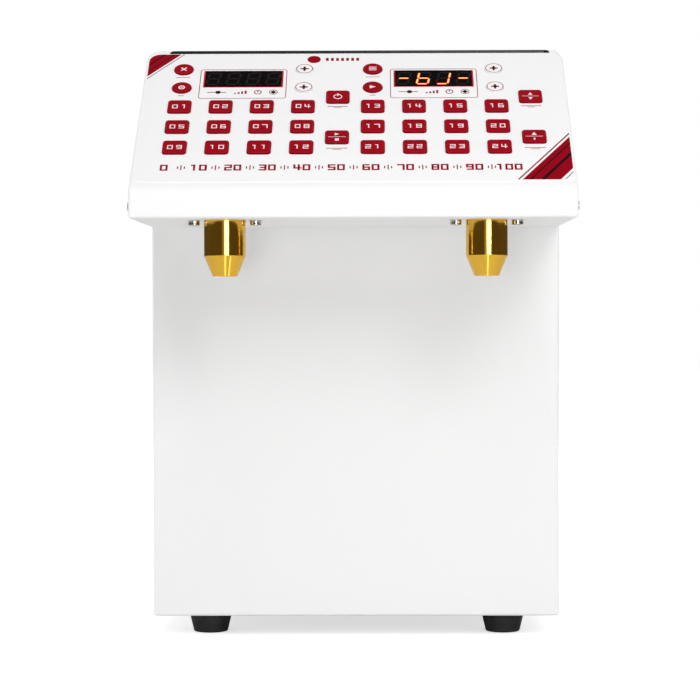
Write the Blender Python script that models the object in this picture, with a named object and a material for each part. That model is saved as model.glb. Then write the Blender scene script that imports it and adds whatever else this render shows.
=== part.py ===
"""Fructose dispenser: a sheet-metal cabinet with an overhanging head and two syrup channels.

Metres, +Z up. The front faces -Y and the middle of the base's footprint is the origin.
Each piece is one named object. The control panel's pieces hang on an empty at the foot
of its slope, and each moving piece has its origin on its joint's axis.
"""

import math

import bmesh
import bpy
from mathutils import Matrix, Vector
from mathutils.geometry import interpolate_bezier

# Cabinet, outside
CABINET_WIDTH = 0.330
BODY_DEPTH = 0.230
UNDERSIDE_HEIGHT = 0.316
HEAD_OVERHANG = 0.175
HEAD_HEIGHT = 0.140
LIP_HEIGHT = 0.021
SLOPE_RUN = 0.148
SHEET = 0.0012
CORNER_BEND = 0.0022
DECK_EDGE_BEND = 0.0095
SLOPE_BEND = 0.012
BEND_STEPS = 3
SLOPE_BEND_STEPS = 6
DECK_EDGE_STEPS = 6

# Clearances
GAP = 0.0003
SEAM = 0.0004
PIN_GAP = 0.0003

# Front cover, whose edges are turned back round the head
COVER_FLANGE = 0.018
COVER_DECK_WRAP = 0.006
SIDE_SCREW_SETBACK = 0.010
SIDE_SCREW_RISE = 0.0092
SIDE_SCREW_HEAD_RADIUS = 0.0030
SIDE_SCREW_HEAD_HEIGHT = 0.0012
SIDE_SCREW_RADIUS = 0.0015
SIDE_SCREW_LENGTH = 0.0075
TAB_THICKNESS = 0.0015
TAB_WELD = 0.008
TAB_HEIGHT = 0.012

# Lid in its recess on top
LID_LEFT_BORDER = 0.01795
LID_RIGHT_BORDER = 0.01035
LID_THICKNESS = 0.0025
LID_CORNER = 0.005
LID_RISE = 0.0030
LID_BACK_SETBACK = 0.016
LID_REAR_GAP = 0.0005
POCKET_MARGIN = 0.0010
GRIP_LENGTH = 0.090
GRIP_WIDTH = 0.010
GRIP_HEIGHT = 0.0075
GRIP_SETBACK = 0.104
HINGE_SETBACK = 0.0075
HINGE_INSET = 0.05585
KNUCKLE_RADIUS = 0.0032
KNUCKLE_LENGTH = 0.024
HINGE_LIFT = 0.0005
HINGE_PIN_RADIUS = 0.0016
HINGE_EAR = 0.0030

# Syrup tank
TANK_SIDE_SPACE = 0.033
TANK_WALL = 0.0010
TANK_FRONT_SPACE = 0.018
TANK_BACK_SPACE = 0.030
TANK_FLOOR_HEIGHT = 0.205
TANK_FLANGE = 0.007
TANK_CORNER = 0.003
SPOUT_RADIUS = 0.0085
SPOUT_BORE = 0.0060
SPOUT_LENGTH = 0.022

# Nozzles under the head
NOZZLE_SIDE_SPACE = 0.0669
NOZZLE_SHIFT = 0.0016
NOZZLE_SETBACK = 0.038
NOZZLE_RADIUS = 0.0157
NOZZLE_BARREL = 0.0268
NOZZLE_CONE = 0.0152
NOZZLE_TIP_RADIUS = 0.0093
NOZZLE_MOUTH_RADIUS = 0.0045
NOZZLE_MOUTH_DEPTH = 0.014
NOZZLE_BORE = 0.0025
NOZZLE_SIDES = 28
FLANGE_THICKNESS = 0.0040
FLANGE_WIDTH = 0.026
FLANGE_OVERHANG = 0.0075
FLANGE_SCREW_OFFSET = 0.0231
FLANGE_SCREW_HEAD = 0.0044
FLANGE_SCREW_HEAD_HEIGHT = 0.0040
FLANGE_SCREW_RADIUS = 0.0022
BARB_RADIUS = 0.0042
BARB_LENGTH = 0.012

# Control panel on the slope: two alike channel blocks
PANEL_LEFT_MARGIN = 0.0307
PANEL_RIGHT_MARGIN = 0.0288
KEY_SPACE = 0.0137
KEY_HEIGHT = 0.0176
KEY_CORNER = 0.0024
KEY_COLUMNS = 4
KEY_ROWS = 3
FUNCTION_KEY_STEP = 0.841
BLOCK_STEP = 0.851
KEY_ROW_PITCH = 0.0275
FUNCTION_KEY_RISE = 0.0130
LOWEST_ROW = 0.0522
ROUND_KEY_RADIUS = 0.0077
SIGN_KEY_RADIUS = 0.0070
UPPER_ROUND_ROW = 0.1602
LOWER_ROUND_ROW = 0.1340
KEY_TRAVEL = 0.0005
KEY_RISE = 0.0012
STEM_WIDTH = 0.0050
STEM_HOLE = 0.0080
ROUND_KEY_SIDES = 20
OVERLAY_THICKNESS = 0.0008
OVERLAY_MARGIN = 0.0018
OVERLAY_FOOT = 0.0095
OVERLAY_CORNER = 0.0100
WINDOW_SPACE = 0.00895
WINDOW_HEIGHT = 0.0234
WINDOW_ROW = 0.1469
DISPLAY_SINK = 0.0002

# Control board behind the slope
BOARD_DEPTH = 0.0090
BOARD_THICKNESS = 0.0016
BOARD_SIDE_SPACE = 0.015
BOARD_LOW = 0.0400
BOARD_HIGH = 0.1750
SWITCH_WIDTH = 0.0060
SWITCH_HEIGHT = 0.0035
STANDOFF_RADIUS = 0.0030
STANDOFF_INSET = 0.0050

# Feet
FOOT_HEIGHT = 0.018
FOOT_INSET = 0.0435
FOOT_RADIUS = 0.0175
FOOT_BASE_RADIUS = 0.0140
FOOT_EDGE = 0.0030
FOOT_SIDES = 20

# Pumps on the cabinet's floor
PUMP_SIDE_SPACE = 0.090
PUMP_AXIS_HEIGHT = 0.044
PUMP_HEAD_WIDTH = 0.044
PUMP_HEAD_DEPTH = 0.036
PUMP_HEAD_SETBACK = 0.071
COUPLING_SPACE = 0.024
MOTOR_RADIUS = 0.024
MOTOR_LENGTH = 0.078
MOTOR_SIDES = 20
PUMP_BASE_WIDTH = 0.050
PUMP_BASE_THICKNESS = 0.003
PEDESTAL_WIDTH = 0.030
SHAFT_RADIUS = 0.0030
SHAFT_ENTRY = 0.016
HUB_RADIUS = 0.0090
HUB_LENGTH = 0.016
HUB_SCREW_WIDTH = 0.0040
HUB_SCREW_RISE = 0.0020
RISER_RADIUS = 0.0070
OUTLET_RADIUS = 0.0050
OUTLET_LENGTH = 0.0040

# Hoses from pump to nozzle
HOSE_RADIUS = 0.0045
HOSE_CLEAR = 0.0020
HOSE_BEND = 0.020
HOSE_STEPS = 3

# Power supply
SUPPLY_WIDTH = 0.084
SUPPLY_DEPTH = 0.100
SUPPLY_HEIGHT = 0.036
SUPPLY_BACK_SPACE = 0.020
SUPPLY_FOOT = 0.004

# Rear cover and mains inlet
REAR_FLANGE = 0.014
COVER_OVERLAP = 0.009
REAR_TOP_MARGIN = 0.030
VENT_COLUMNS = 2
VENT_ROWS = 8
VENT_LENGTH = 0.060
VENT_HEIGHT = 0.004
VENT_PITCH = 0.010
VENT_SIDE_SPACE = 0.105
VENT_BASE = 0.250
INLET_SIDE_SPACE = 0.065
INLET_HEIGHT = 0.070
INLET_WIDTH = 0.034
INLET_TALL = 0.052
INLET_FLANGE = 0.004
INLET_BEZEL = 0.0055
INLET_BODY_DEPTH = 0.024
INLET_LEDGE = 0.0030
SOCKET_WIDTH = 0.0240
SOCKET_TALL = 0.0165
SOCKET_DEPTH = 0.0160
SOCKET_RISE = -0.0125
CONTACT_WIDTH = 0.0020
CONTACT_TALL = 0.0040
CONTACT_LENGTH = 0.0110
CONTACT_SPACING = 0.0070
EARTH_RISE = 0.0035
ROCKER_WIDTH = 0.0200
ROCKER_TALL = 0.0150
ROCKER_RISE = 0.0140
ROCKER_DEPTH = 0.0040
ROCKER_SINK = 0.0020
ROCKER_CROWN = 0.0010
ROCKER_WELL_DEPTH = 0.0090
ROCKER_CLEAR = 0.0006
ROCKER_TILT = math.radians(7.0)
ROCKER_PIN_RADIUS = 0.0010
ROCKER_PIN_LENGTH = 0.0015

# Places that follow from the sizes above
REAR_PROUD = GAP + SHEET + INLET_BEZEL
LIP_FRONT = -(HEAD_OVERHANG + BODY_DEPTH + REAR_PROUD) / 2
BODY_FRONT = LIP_FRONT + HEAD_OVERHANG
BODY_BACK = BODY_FRONT + BODY_DEPTH
SLOPE_TOP = LIP_FRONT + SLOPE_RUN
FLOOR = FOOT_HEIGHT
INNER_FLOOR = FLOOR + SHEET
UNDERSIDE = FLOOR + UNDERSIDE_HEIGHT
LIP_TOP = UNDERSIDE + LIP_HEIGHT
DECK = UNDERSIDE + HEAD_HEIGHT
SLOPE_ANGLE = math.atan2(HEAD_HEIGHT - LIP_HEIGHT, SLOPE_RUN)
SLOPE_LENGTH = math.hypot(HEAD_HEIGHT - LIP_HEIGHT, SLOPE_RUN)
HALF_WIDTH = CABINET_WIDTH / 2
LID_WIDTH = CABINET_WIDTH - LID_LEFT_BORDER - LID_RIGHT_BORDER
LID_SHIFT = (LID_LEFT_BORDER - LID_RIGHT_BORDER) / 2
HINGE_SPACING = LID_WIDTH - 2 * HINGE_INSET
TANK_WIDTH = CABINET_WIDTH - 2 * TANK_SIDE_SPACE
NOZZLE_SPACING = CABINET_WIDTH - 2 * NOZZLE_SIDE_SPACE
PUMP_SPACING = CABINET_WIDTH - 2 * PUMP_SIDE_SPACE
VENT_SPACING = CABINET_WIDTH - 2 * VENT_SIDE_SPACE
INLET_X = INLET_SIDE_SPACE - HALF_WIDTH
BOARD_WIDTH = CABINET_WIDTH - 2 * BOARD_SIDE_SPACE
BLOCK_PITCHES = KEY_COLUMNS - 1 + FUNCTION_KEY_STEP
PANEL_PITCHES = 2 * BLOCK_PITCHES + BLOCK_STEP
KEY_COLUMN_PITCH = (CABINET_WIDTH - PANEL_LEFT_MARGIN - PANEL_RIGHT_MARGIN) / PANEL_PITCHES
KEY_WIDTH = KEY_COLUMN_PITCH - KEY_SPACE
FIRST_COLUMNS = (
    PANEL_LEFT_MARGIN - HALF_WIDTH,
    PANEL_LEFT_MARGIN - HALF_WIDTH + KEY_COLUMN_PITCH * (BLOCK_PITCHES + BLOCK_STEP),
)
BLOCK_HALF = KEY_COLUMN_PITCH * (KEY_COLUMNS - 1) / 2
BLOCK_CENTRES = tuple(first + BLOCK_HALF for first in FIRST_COLUMNS)
FUNCTION_KEY_OFFSET = BLOCK_HALF + KEY_COLUMN_PITCH * FUNCTION_KEY_STEP
WINDOW_WIDTH = 2 * (BLOCK_HALF - ROUND_KEY_RADIUS - WINDOW_SPACE)
LID_SEAT = DECK - LID_THICKNESS - GAP
LID_BACK = BODY_BACK - LID_BACK_SETBACK
TANK_FRONT = BODY_FRONT + TANK_FRONT_SPACE
TANK_BACK = BODY_BACK - TANK_BACK_SPACE
TANK_FLOOR = FLOOR + TANK_FLOOR_HEIGHT
NOZZLE_Y = LIP_FRONT + NOZZLE_SETBACK
HINGE_Y = BODY_BACK - HINGE_SETBACK
HINGE_Z = DECK + HINGE_LIFT + KNUCKLE_RADIUS
PUMP_Y = BODY_FRONT + PUMP_HEAD_SETBACK
PUMP_Z = INNER_FLOOR + GAP + PUMP_AXIS_HEIGHT
FLANGE_SEAT = SHEET + GAP
BARB_TOP = FLANGE_SEAT + FLANGE_THICKNESS + BARB_LENGTH
CAP_BASE = KEY_TRAVEL + GAP
SWITCH_TOP = -BOARD_DEPTH + SWITCH_HEIGHT
OVERLAY_TOP = GAP + OVERLAY_THICKNESS
INLET_Z = FLOOR + INLET_HEIGHT


def clear_scene():
    """Takes every object out of the open scene."""
    for item in list(bpy.data.objects):
        bpy.data.objects.remove(item, do_unlink=True)


def finish(name, colour, roughness, metallic=0.0):
    """Makes one plain finish for a kind of piece."""
    material = bpy.data.materials.new(name)
    material.use_nodes = True
    shader = material.node_tree.nodes["Principled BSDF"]
    shader.inputs["Base Color"].default_value = (*colour, 1.0)
    shader.inputs["Roughness"].default_value = roughness
    shader.inputs["Metallic"].default_value = metallic
    material.diffuse_color = (*colour, 1.0)
    return material


def offset_outline(corners, distance):
    """Moves each edge of an anticlockwise outline inwards, or outwards if negative."""
    moved = []
    for i, corner in enumerate(corners):
        here = Vector(corner)
        before = (here - Vector(corners[i - 1])).normalized()
        after = (Vector(corners[(i + 1) % len(corners)]) - here).normalized()
        left_before = Vector((-before.y, before.x))
        left_after = Vector((-after.y, after.x))
        shift = (left_before + left_after) / (1.0 + left_before.dot(left_after))
        moved.append(here + shift * distance)
    return moved


def round_corners(corners, radii, steps):
    """Swaps each corner of an outline for an arc that touches both its edges."""
    points = []
    for i, corner in enumerate(corners):
        here = Vector(corner)
        to_last = (Vector(corners[i - 1]) - here).normalized()
        to_next = (Vector(corners[(i + 1) % len(corners)]) - here).normalized()
        if radii[i] <= 0.0:
            points.append(here)
            continue
        half = to_last.angle(to_next) / 2
        start = here + to_last * radii[i] / math.tan(half)
        end = here + to_next * radii[i] / math.tan(half)
        centre = here + (to_last + to_next).normalized() * radii[i] / math.sin(half)
        for step in range(steps + 1):
            blend = step / steps
            sweep = math.pi - 2 * half
            spoke = (start - centre) * math.sin((1 - blend) * sweep)
            spoke = spoke + (end - centre) * math.sin(blend * sweep)
            points.append(centre + spoke / math.sin(sweep))
    return points


def rectangle(low, high):
    """Gives the four corners of an upright rectangle, anticlockwise."""
    return [(low[0], low[1]), (high[0], low[1]), (high[0], high[1]), (low[0], high[1])]


def rounded_rectangle(low, high, radius, steps=2):
    """Gives a rectangle's outline with four equal round corners."""
    return round_corners(rectangle(low, high), [radius] * 4, steps)


def circle(centre, radius, sides):
    """Gives a regular outline round a point, anticlockwise."""
    turn = 2 * math.pi / sides
    return [
        (centre[0] + radius * math.cos(i * turn), centre[1] + radius * math.sin(i * turn))
        for i in range(sides)
    ]


def mesh_from(shape):
    """Turns a bmesh into a mesh whose faces point outwards."""
    bmesh.ops.recalc_face_normals(shape, faces=shape.faces)
    mesh = bpy.data.meshes.new("shape")
    shape.to_mesh(mesh)
    shape.free()
    return mesh


def solid(mesh, name="shape"):
    """Puts a mesh in the scene as an object."""
    item = bpy.data.objects.new(name, mesh)
    bpy.context.collection.objects.link(item)
    return item


def extrude_outline(outline, start, length, axis="Z"):
    """Extrudes an outline along an axis: X reads it as (y, z), Y as (x, z), Z as (x, y)."""
    places = {
        "X": lambda p: (start, p[0], p[1]),
        "Y": lambda p: (p[0], start, p[1]),
        "Z": lambda p: (p[0], p[1], start),
    }
    direction = {"X": (1, 0, 0), "Y": (0, 1, 0), "Z": (0, 0, 1)}[axis]
    shape = bmesh.new()
    face = shape.faces.new([shape.verts.new(places[axis](p)) for p in outline])
    grown = bmesh.ops.extrude_face_region(shape, geom=[face])["geom"]
    moved = [part for part in grown if isinstance(part, bmesh.types.BMVert)]
    bmesh.ops.translate(shape, verts=moved, vec=Vector(direction) * length)
    return solid(mesh_from(shape))


def block(low, high):
    """Makes an upright box between two corners."""
    shape = bmesh.new()
    bmesh.ops.create_cube(shape, size=1.0)
    size = [high[i] - low[i] for i in range(3)]
    middle = [(high[i] + low[i]) / 2 for i in range(3)]
    bmesh.ops.scale(shape, verts=shape.verts, vec=size)
    bmesh.ops.translate(shape, verts=shape.verts, vec=middle)
    return solid(mesh_from(shape))


def rod(start, length, radius, axis="Z", sides=12):
    """Makes a round bar from a point along an axis."""
    centre = {"X": (start[1], start[2]), "Y": (start[0], start[2]), "Z": (start[0], start[1])}
    level = {"X": start[0], "Y": start[1], "Z": start[2]}
    return extrude_outline(circle(centre[axis], radius, sides), level[axis], length, axis)


def turned(profile, sides):
    """Spins a closed profile of (radius, height) points round the Z axis."""
    shape = bmesh.new()
    verts = [shape.verts.new((radius, 0.0, height)) for radius, height in profile]
    edges = [shape.edges.new((verts[i - 1], verts[i])) for i in range(len(verts))]
    bmesh.ops.spin(
        shape,
        geom=verts + edges,
        cent=(0, 0, 0),
        axis=(0, 0, 1),
        angle=2 * math.pi,
        steps=sides,
        use_merge=True,
    )
    bmesh.ops.remove_doubles(shape, verts=shape.verts, dist=1e-6)
    return solid(mesh_from(shape))


def combine(target, others, operation):
    """Unites, cuts or intersects a solid with others, and takes the others away."""
    for other in others:
        modifier = target.modifiers.new(operation.lower(), "BOOLEAN")
        modifier.operation = operation
        modifier.solver = "EXACT"
        modifier.object = other
        graph = bpy.context.evaluated_depsgraph_get()
        mesh = bpy.data.meshes.new_from_object(target.evaluated_get(graph))
        target.modifiers.clear()
        target.data = mesh
        bpy.data.objects.remove(other, do_unlink=True)
    return target


def join_loose(pieces):
    """Puts solids that don't touch into one object, for one cut or one union."""
    shape = bmesh.new()
    for piece in pieces:
        shape.from_mesh(piece.data)
        bpy.data.objects.remove(piece, do_unlink=True)
    return solid(mesh_from(shape))


def name_piece(item, name, material, parent=None, place=(0, 0, 0)):
    """Gives a finished solid its name, finish and place."""
    item.name = name
    item.data.name = name
    item.data.materials.clear()
    item.data.materials.append(material)
    item.data.shade_smooth()
    item.data.set_sharp_from_angle(angle=math.radians(35))
    item.parent = parent
    item.location = place
    return item


def shift_origin(item, origin):
    """Moves a solid's mesh so that a point becomes its local origin."""
    item.data.transform(Matrix.Translation(-Vector(origin)))
    return item


def side_profile():
    """Gives the cabinet's corners seen from +X as (y, z), anticlockwise from the front foot."""
    return [
        (BODY_FRONT, FLOOR),
        (BODY_BACK, FLOOR),
        (BODY_BACK, DECK),
        (SLOPE_TOP, DECK),
        (LIP_FRONT, LIP_TOP),
        (LIP_FRONT, UNDERSIDE),
        (BODY_FRONT, UNDERSIDE),
    ]


def cabinet_block(inset):
    """Makes the cabinet's outer form as a solid, or the space inside a wall of that inset."""
    corners = offset_outline(side_profile(), inset)
    radii = [0.0] * len(corners)
    radii[side_profile().index((LIP_FRONT, LIP_TOP))] = SLOPE_BEND - inset
    outline = round_corners(corners, radii, SLOPE_BEND_STEPS)
    half = HALF_WIDTH - inset
    form = extrude_outline(outline, -half, 2 * half, "X")
    shape = bmesh.new()
    shape.from_mesh(form.data)
    bends = [e for e in shape.edges if e.calc_face_angle_signed() > math.radians(60)]
    bmesh.ops.bevel(
        shape,
        geom=bends,
        offset=CORNER_BEND - inset,
        segments=BEND_STEPS,
        profile=0.5,
        affect="EDGES",
        material=-1,
    )
    form.data = mesh_from(shape)
    return combine(form, [deck_edge_cutter(side, inset) for side in (-1, 1)], "DIFFERENCE")


def deck_edge_cutter(side, inset):
    """Makes the waste outside the round edge between the deck and one side wall."""
    radius = DECK_EDGE_BEND - inset
    edge = HALF_WIDTH - inset
    top = DECK - inset
    centre = Vector((edge - radius, top - radius))
    beyond = DECK_EDGE_BEND
    outline = [(edge - radius, top + beyond)]
    for step in range(DECK_EDGE_STEPS + 1):
        angle = math.pi / 2 * (1 - step / DECK_EDGE_STEPS)
        spoke = Vector((math.cos(angle), math.sin(angle)))
        outline.append(centre + radius * spoke)
    outline += [(edge + beyond, top - radius), (edge + beyond, top + beyond)]
    mirrored = [(side * x, z) for x, z in outline]
    depth = HEAD_OVERHANG + BODY_DEPTH
    return extrude_outline(mirrored, LIP_FRONT - depth / 2, 2 * depth, "Y")


def lid_recess(inset):
    """Makes the space for the lid: open to the slope and above, grown by a wall below."""
    half = LID_WIDTH / 2 + GAP + inset
    low = (LID_SHIFT - half, LIP_FRONT, LID_SEAT - inset)
    high = (LID_SHIFT + half, LID_BACK + LID_REAR_GAP + inset, DECK + HEAD_HEIGHT)
    return block(low, high)


def cabinet_shell():
    """Makes the whole bent-sheet skin of the cabinet before it is parted."""
    outside = combine(cabinet_block(0.0), [lid_recess(0.0)], "DIFFERENCE")
    inside = combine(cabinet_block(SHEET), [lid_recess(SHEET)], "DIFFERENCE")
    return combine(outside, [inside], "DIFFERENCE")


def flange_corner_height():
    """Gives the height where the cover's flange turns from the lip to follow the slope."""
    drop = COVER_FLANGE / math.cos(SLOPE_ANGLE)
    return LIP_TOP + COVER_FLANGE * math.tan(SLOPE_ANGLE) - drop


def cover_region(growth):
    """Makes the part of space that the front cover takes out of the cabinet's skin."""
    beyond = HEAD_OVERHANG / 4
    wrap = SLOPE_TOP + COVER_DECK_WRAP
    corner_y = LIP_FRONT + COVER_FLANGE
    corner_z = flange_corner_height()
    outline = [
        (LIP_FRONT - beyond, UNDERSIDE - beyond),
        (corner_y, UNDERSIDE - beyond),
        (corner_y, corner_z),
        (wrap, corner_z + (wrap - corner_y) * math.tan(SLOPE_ANGLE)),
        (wrap, DECK + beyond),
        (LIP_FRONT - beyond, DECK + beyond),
    ]
    grown = offset_outline(outline, -growth)
    return extrude_outline(grown, -CABINET_WIDTH, 2 * CABINET_WIDTH, "X")


def slope_matrix():
    """Gives the frame of the slope: x across, y up the slope, z out of it."""
    return Matrix.Translation((0, LIP_FRONT, LIP_TOP)) @ Matrix.Rotation(SLOPE_ANGLE, 4, "X")


def key_table():
    """Lists each key as (name, across, up, kind), block by block."""
    keys = []
    functions = (("key_power", "key_start"), ("key_range", "key_shift"))
    rounds = (("key_escape", "key_set"), ("key_menu", "key_run"))
    sides = ("left", "right")
    mid_row = LOWEST_ROW + KEY_ROW_PITCH * (KEY_ROWS - 1) / 2
    outer = BLOCK_HALF
    for b, centre in enumerate(BLOCK_CENTRES):
        for row in range(KEY_ROWS):
            for column in range(KEY_COLUMNS):
                number = 1 + column + KEY_COLUMNS * (row + KEY_ROWS * b)
                across = centre - outer + column * KEY_COLUMN_PITCH
                up = LOWEST_ROW + (KEY_ROWS - 1 - row) * KEY_ROW_PITCH
                keys.append((f"key_{number:02d}", across, up, "square"))
        for name, step in zip(functions[b], (1, -1)):
            up = mid_row + FUNCTION_KEY_RISE + step * KEY_ROW_PITCH
            keys.append((name, centre + FUNCTION_KEY_OFFSET, up, "square"))
        for name, up in zip(rounds[b], (UPPER_ROUND_ROW, LOWER_ROUND_ROW)):
            keys.append((name, centre - outer, up, "round"))
        for sign, up in zip(("plus", "minus"), (UPPER_ROUND_ROW, LOWER_ROUND_ROW)):
            keys.append((f"key_{sign}_{sides[b]}", centre + outer, up, "sign"))
    return keys


def key_outline(across, up, kind, growth=0.0):
    """Gives a key's outline on the slope, or that of the hole round it."""
    if kind == "square":
        half_width = KEY_WIDTH / 2 + growth
        half_height = KEY_HEIGHT / 2 + growth
        low = (across - half_width, up - half_height)
        high = (across + half_width, up + half_height)
        return rounded_rectangle(low, high, KEY_CORNER + growth)
    radius = ROUND_KEY_RADIUS if kind == "round" else SIGN_KEY_RADIUS
    return circle((across, up), radius + growth, ROUND_KEY_SIDES)


def window_outline(centre, growth=0.0):
    """Gives a display window's outline on the slope."""
    half_width = WINDOW_WIDTH / 2 + growth
    half_height = WINDOW_HEIGHT / 2 + growth
    low = (centre - half_width, WINDOW_ROW - half_height)
    high = (centre + half_width, WINDOW_ROW + half_height)
    return rectangle(low, high)


def make_casing(white):
    """Makes the welded cabinet: body, floor, underside, cheeks and deck."""
    casing = combine(cabinet_shell(), [cover_region(SEAM)], "DIFFERENCE")
    opening_half = HALF_WIDTH - REAR_FLANGE
    rear = block(
        (-opening_half, BODY_BACK - 2 * SHEET, FLOOR + REAR_FLANGE),
        (opening_half, BODY_BACK + SHEET, DECK - REAR_TOP_MARGIN),
    )
    tank_half = TANK_WIDTH / 2 + GAP
    mouth = extrude_outline(
        rounded_rectangle(
            (LID_SHIFT - tank_half, TANK_FRONT - GAP),
            (LID_SHIFT + tank_half, TANK_BACK + GAP),
            TANK_CORNER + GAP,
        ),
        LID_SEAT - 2 * SHEET,
        3 * SHEET,
    )
    cutters = [rear, mouth]
    for side in (-1, 1):
        x = NOZZLE_SHIFT + side * NOZZLE_SPACING / 2
        base = UNDERSIDE - SHEET
        cutters.append(rod((x, NOZZLE_Y, base), 3 * SHEET, NOZZLE_RADIUS + GAP, "Z", NOZZLE_SIDES))
        for hand in (-1, 1):
            place = (x + hand * FLANGE_SCREW_OFFSET, NOZZLE_Y, base)
            cutters.append(rod(place, 3 * SHEET, FLANGE_SCREW_RADIUS + GAP, "Z", 8))
    combine(casing, [join_loose(cutters)], "DIFFERENCE")
    for side in (-1, 1):
        combine(casing, [screw_tab(side)], "UNION")
    for side in (-1, 1):
        combine(casing, [hinge_ears(side)], "UNION")
    return name_piece(casing, "casing", white)


def screw_tab(side):
    """Makes the tab behind the front cover's flange, which takes one side screw."""
    outer = HALF_WIDTH - SHEET - GAP
    inner = outer - TAB_THICKNESS
    low_y = LIP_FRONT + CORNER_BEND + GAP
    weld_y = LIP_FRONT + COVER_FLANGE + SEAM + GAP
    high_y = weld_y + TAB_WELD
    low_z = UNDERSIDE + CORNER_BEND + GAP
    weld_top = flange_corner_height() - SEAM - GAP
    xs = sorted((side * inner, side * outer))
    tab = block((xs[0], low_y, low_z), (xs[1], high_y, low_z + TAB_HEIGHT))
    weld_xs = sorted((side * inner, side * (HALF_WIDTH - SHEET / 2)))
    weld = block((weld_xs[0], weld_y, low_z), (weld_xs[1], high_y, weld_top))
    combine(tab, [weld], "UNION")
    hole_start = side * inner - SHEET if side > 0 else side * outer - SHEET
    hole = rod(
        (hole_start, LIP_FRONT + SIDE_SCREW_SETBACK, UNDERSIDE + SIDE_SCREW_RISE),
        TAB_THICKNESS + 2 * SHEET,
        SIDE_SCREW_RADIUS + PIN_GAP,
        "X",
        8,
    )
    return combine(tab, [hole], "DIFFERENCE")


def hinge_ears(side):
    """Makes the two ears of one lid hinge on the deck's rear strip."""
    middle = LID_SHIFT + side * HINGE_SPACING / 2
    pieces = []
    for hand in (-1, 1):
        inner = middle + hand * (KNUCKLE_LENGTH / 2 + PIN_GAP)
        low_x = min(inner, inner + hand * HINGE_EAR)
        foot = block(
            (low_x, HINGE_Y - KNUCKLE_RADIUS, DECK - SHEET / 2),
            (low_x + HINGE_EAR, HINGE_Y + KNUCKLE_RADIUS, HINGE_Z),
        )
        eye = rod((low_x, HINGE_Y, HINGE_Z), HINGE_EAR, KNUCKLE_RADIUS, "X", 12)
        combine(foot, [eye], "UNION")
        hole = rod(
            (low_x - HINGE_EAR / 2, HINGE_Y, HINGE_Z),
            2 * HINGE_EAR,
            HINGE_PIN_RADIUS + PIN_GAP,
            "X",
            12,
        )
        pieces.append(combine(foot, [hole], "DIFFERENCE"))
    return join_loose(pieces)


def make_front_cover(white):
    """Makes the bent front cover: lip, slope and turned-back flanges, with its side screws."""
    cover = combine(cabinet_shell(), [cover_region(0.0)], "INTERSECT")
    frame = slope_matrix()
    holes = []
    for _, across, up, _ in key_table():
        half = STEM_HOLE / 2
        holes.append(block((across - half, up - half, -2 * SHEET), (across + half, up + half, SHEET)))
    for centre in BLOCK_CENTRES:
        holes.append(extrude_outline(window_outline(centre, GAP), -2 * SHEET, 3 * SHEET))
    cutter = join_loose(holes)
    cutter.data.transform(frame)
    combine(cover, [cutter], "DIFFERENCE")
    y = LIP_FRONT + SIDE_SCREW_SETBACK
    z = UNDERSIDE + SIDE_SCREW_RISE
    for side in (-1, 1):
        face = side * HALF_WIDTH
        sunk = face - side * SHEET / 2
        start = min(sunk, face + side * SIDE_SCREW_HEAD_HEIGHT)
        head = rod(
            (start, y, z), SHEET / 2 + SIDE_SCREW_HEAD_HEIGHT, SIDE_SCREW_HEAD_RADIUS, "X", 16
        )
        start = min(sunk, sunk - side * SIDE_SCREW_LENGTH)
        shank = rod((start, y, z), SIDE_SCREW_LENGTH, SIDE_SCREW_RADIUS, "X", 8)
        combine(cover, [head, shank], "UNION")
    return name_piece(cover, "front_cover", white)


def make_overlay(film, panel):
    """Makes the printed film on the slope, with a hole for each key and window."""
    half = HALF_WIDTH - OVERLAY_MARGIN
    high = SLOPE_LENGTH - (LID_THICKNESS + GAP) / math.sin(SLOPE_ANGLE) - OVERLAY_MARGIN
    outline = rounded_rectangle((-half, OVERLAY_FOOT), (half, high), OVERLAY_CORNER, 3)
    sheet = extrude_outline(outline, GAP, OVERLAY_THICKNESS)
    holes = []
    for _, across, up, kind in key_table():
        holes.append(extrude_outline(key_outline(across, up, kind, GAP), -GAP, 4 * OVERLAY_TOP))
    for centre in BLOCK_CENTRES:
        holes.append(extrude_outline(window_outline(centre, GAP), -GAP, 4 * OVERLAY_TOP))
    combine(sheet, [join_loose(holes)], "DIFFERENCE")
    return name_piece(sheet, "membrane_overlay", film, panel)


def make_key(name, across, up, kind, material, panel):
    """Makes one key: a cap with a broken edge and the stem that reaches its switch."""
    outline = key_outline(0.0, 0.0, kind)
    shape = bmesh.new()
    face = shape.faces.new([shape.verts.new((x, y, 0.0)) for x, y in outline])
    grown = bmesh.ops.extrude_face_region(shape, geom=[face])["geom"]
    moved = [part for part in grown if isinstance(part, bmesh.types.BMVert)]
    bmesh.ops.translate(shape, verts=moved, vec=(0, 0, KEY_RISE))
    rim = [e for e in shape.edges if all(abs(v.co.z - KEY_RISE) < 1e-6 for v in e.verts)]
    bmesh.ops.bevel(
        shape, geom=rim, offset=KEY_RISE / 3, segments=1, profile=0.5, affect="EDGES", material=-1
    )
    cap = solid(mesh_from(shape))
    half = STEM_WIDTH / 2
    stem_length = CAP_BASE - SWITCH_TOP - KEY_TRAVEL - GAP
    stem = block((-half, -half, -stem_length), (half, half, KEY_RISE / 2))
    combine(cap, [stem], "UNION")
    return name_piece(cap, name, material, panel, (across, up, CAP_BASE))


def make_display(name, centre, material, panel):
    """Makes one display module: it fills its window and stands on the board."""
    low = -BOARD_DEPTH + GAP
    outline = window_outline(centre)
    module = extrude_outline(outline, low, OVERLAY_TOP - DISPLAY_SINK - low)
    return name_piece(module, name, material, panel)


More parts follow.
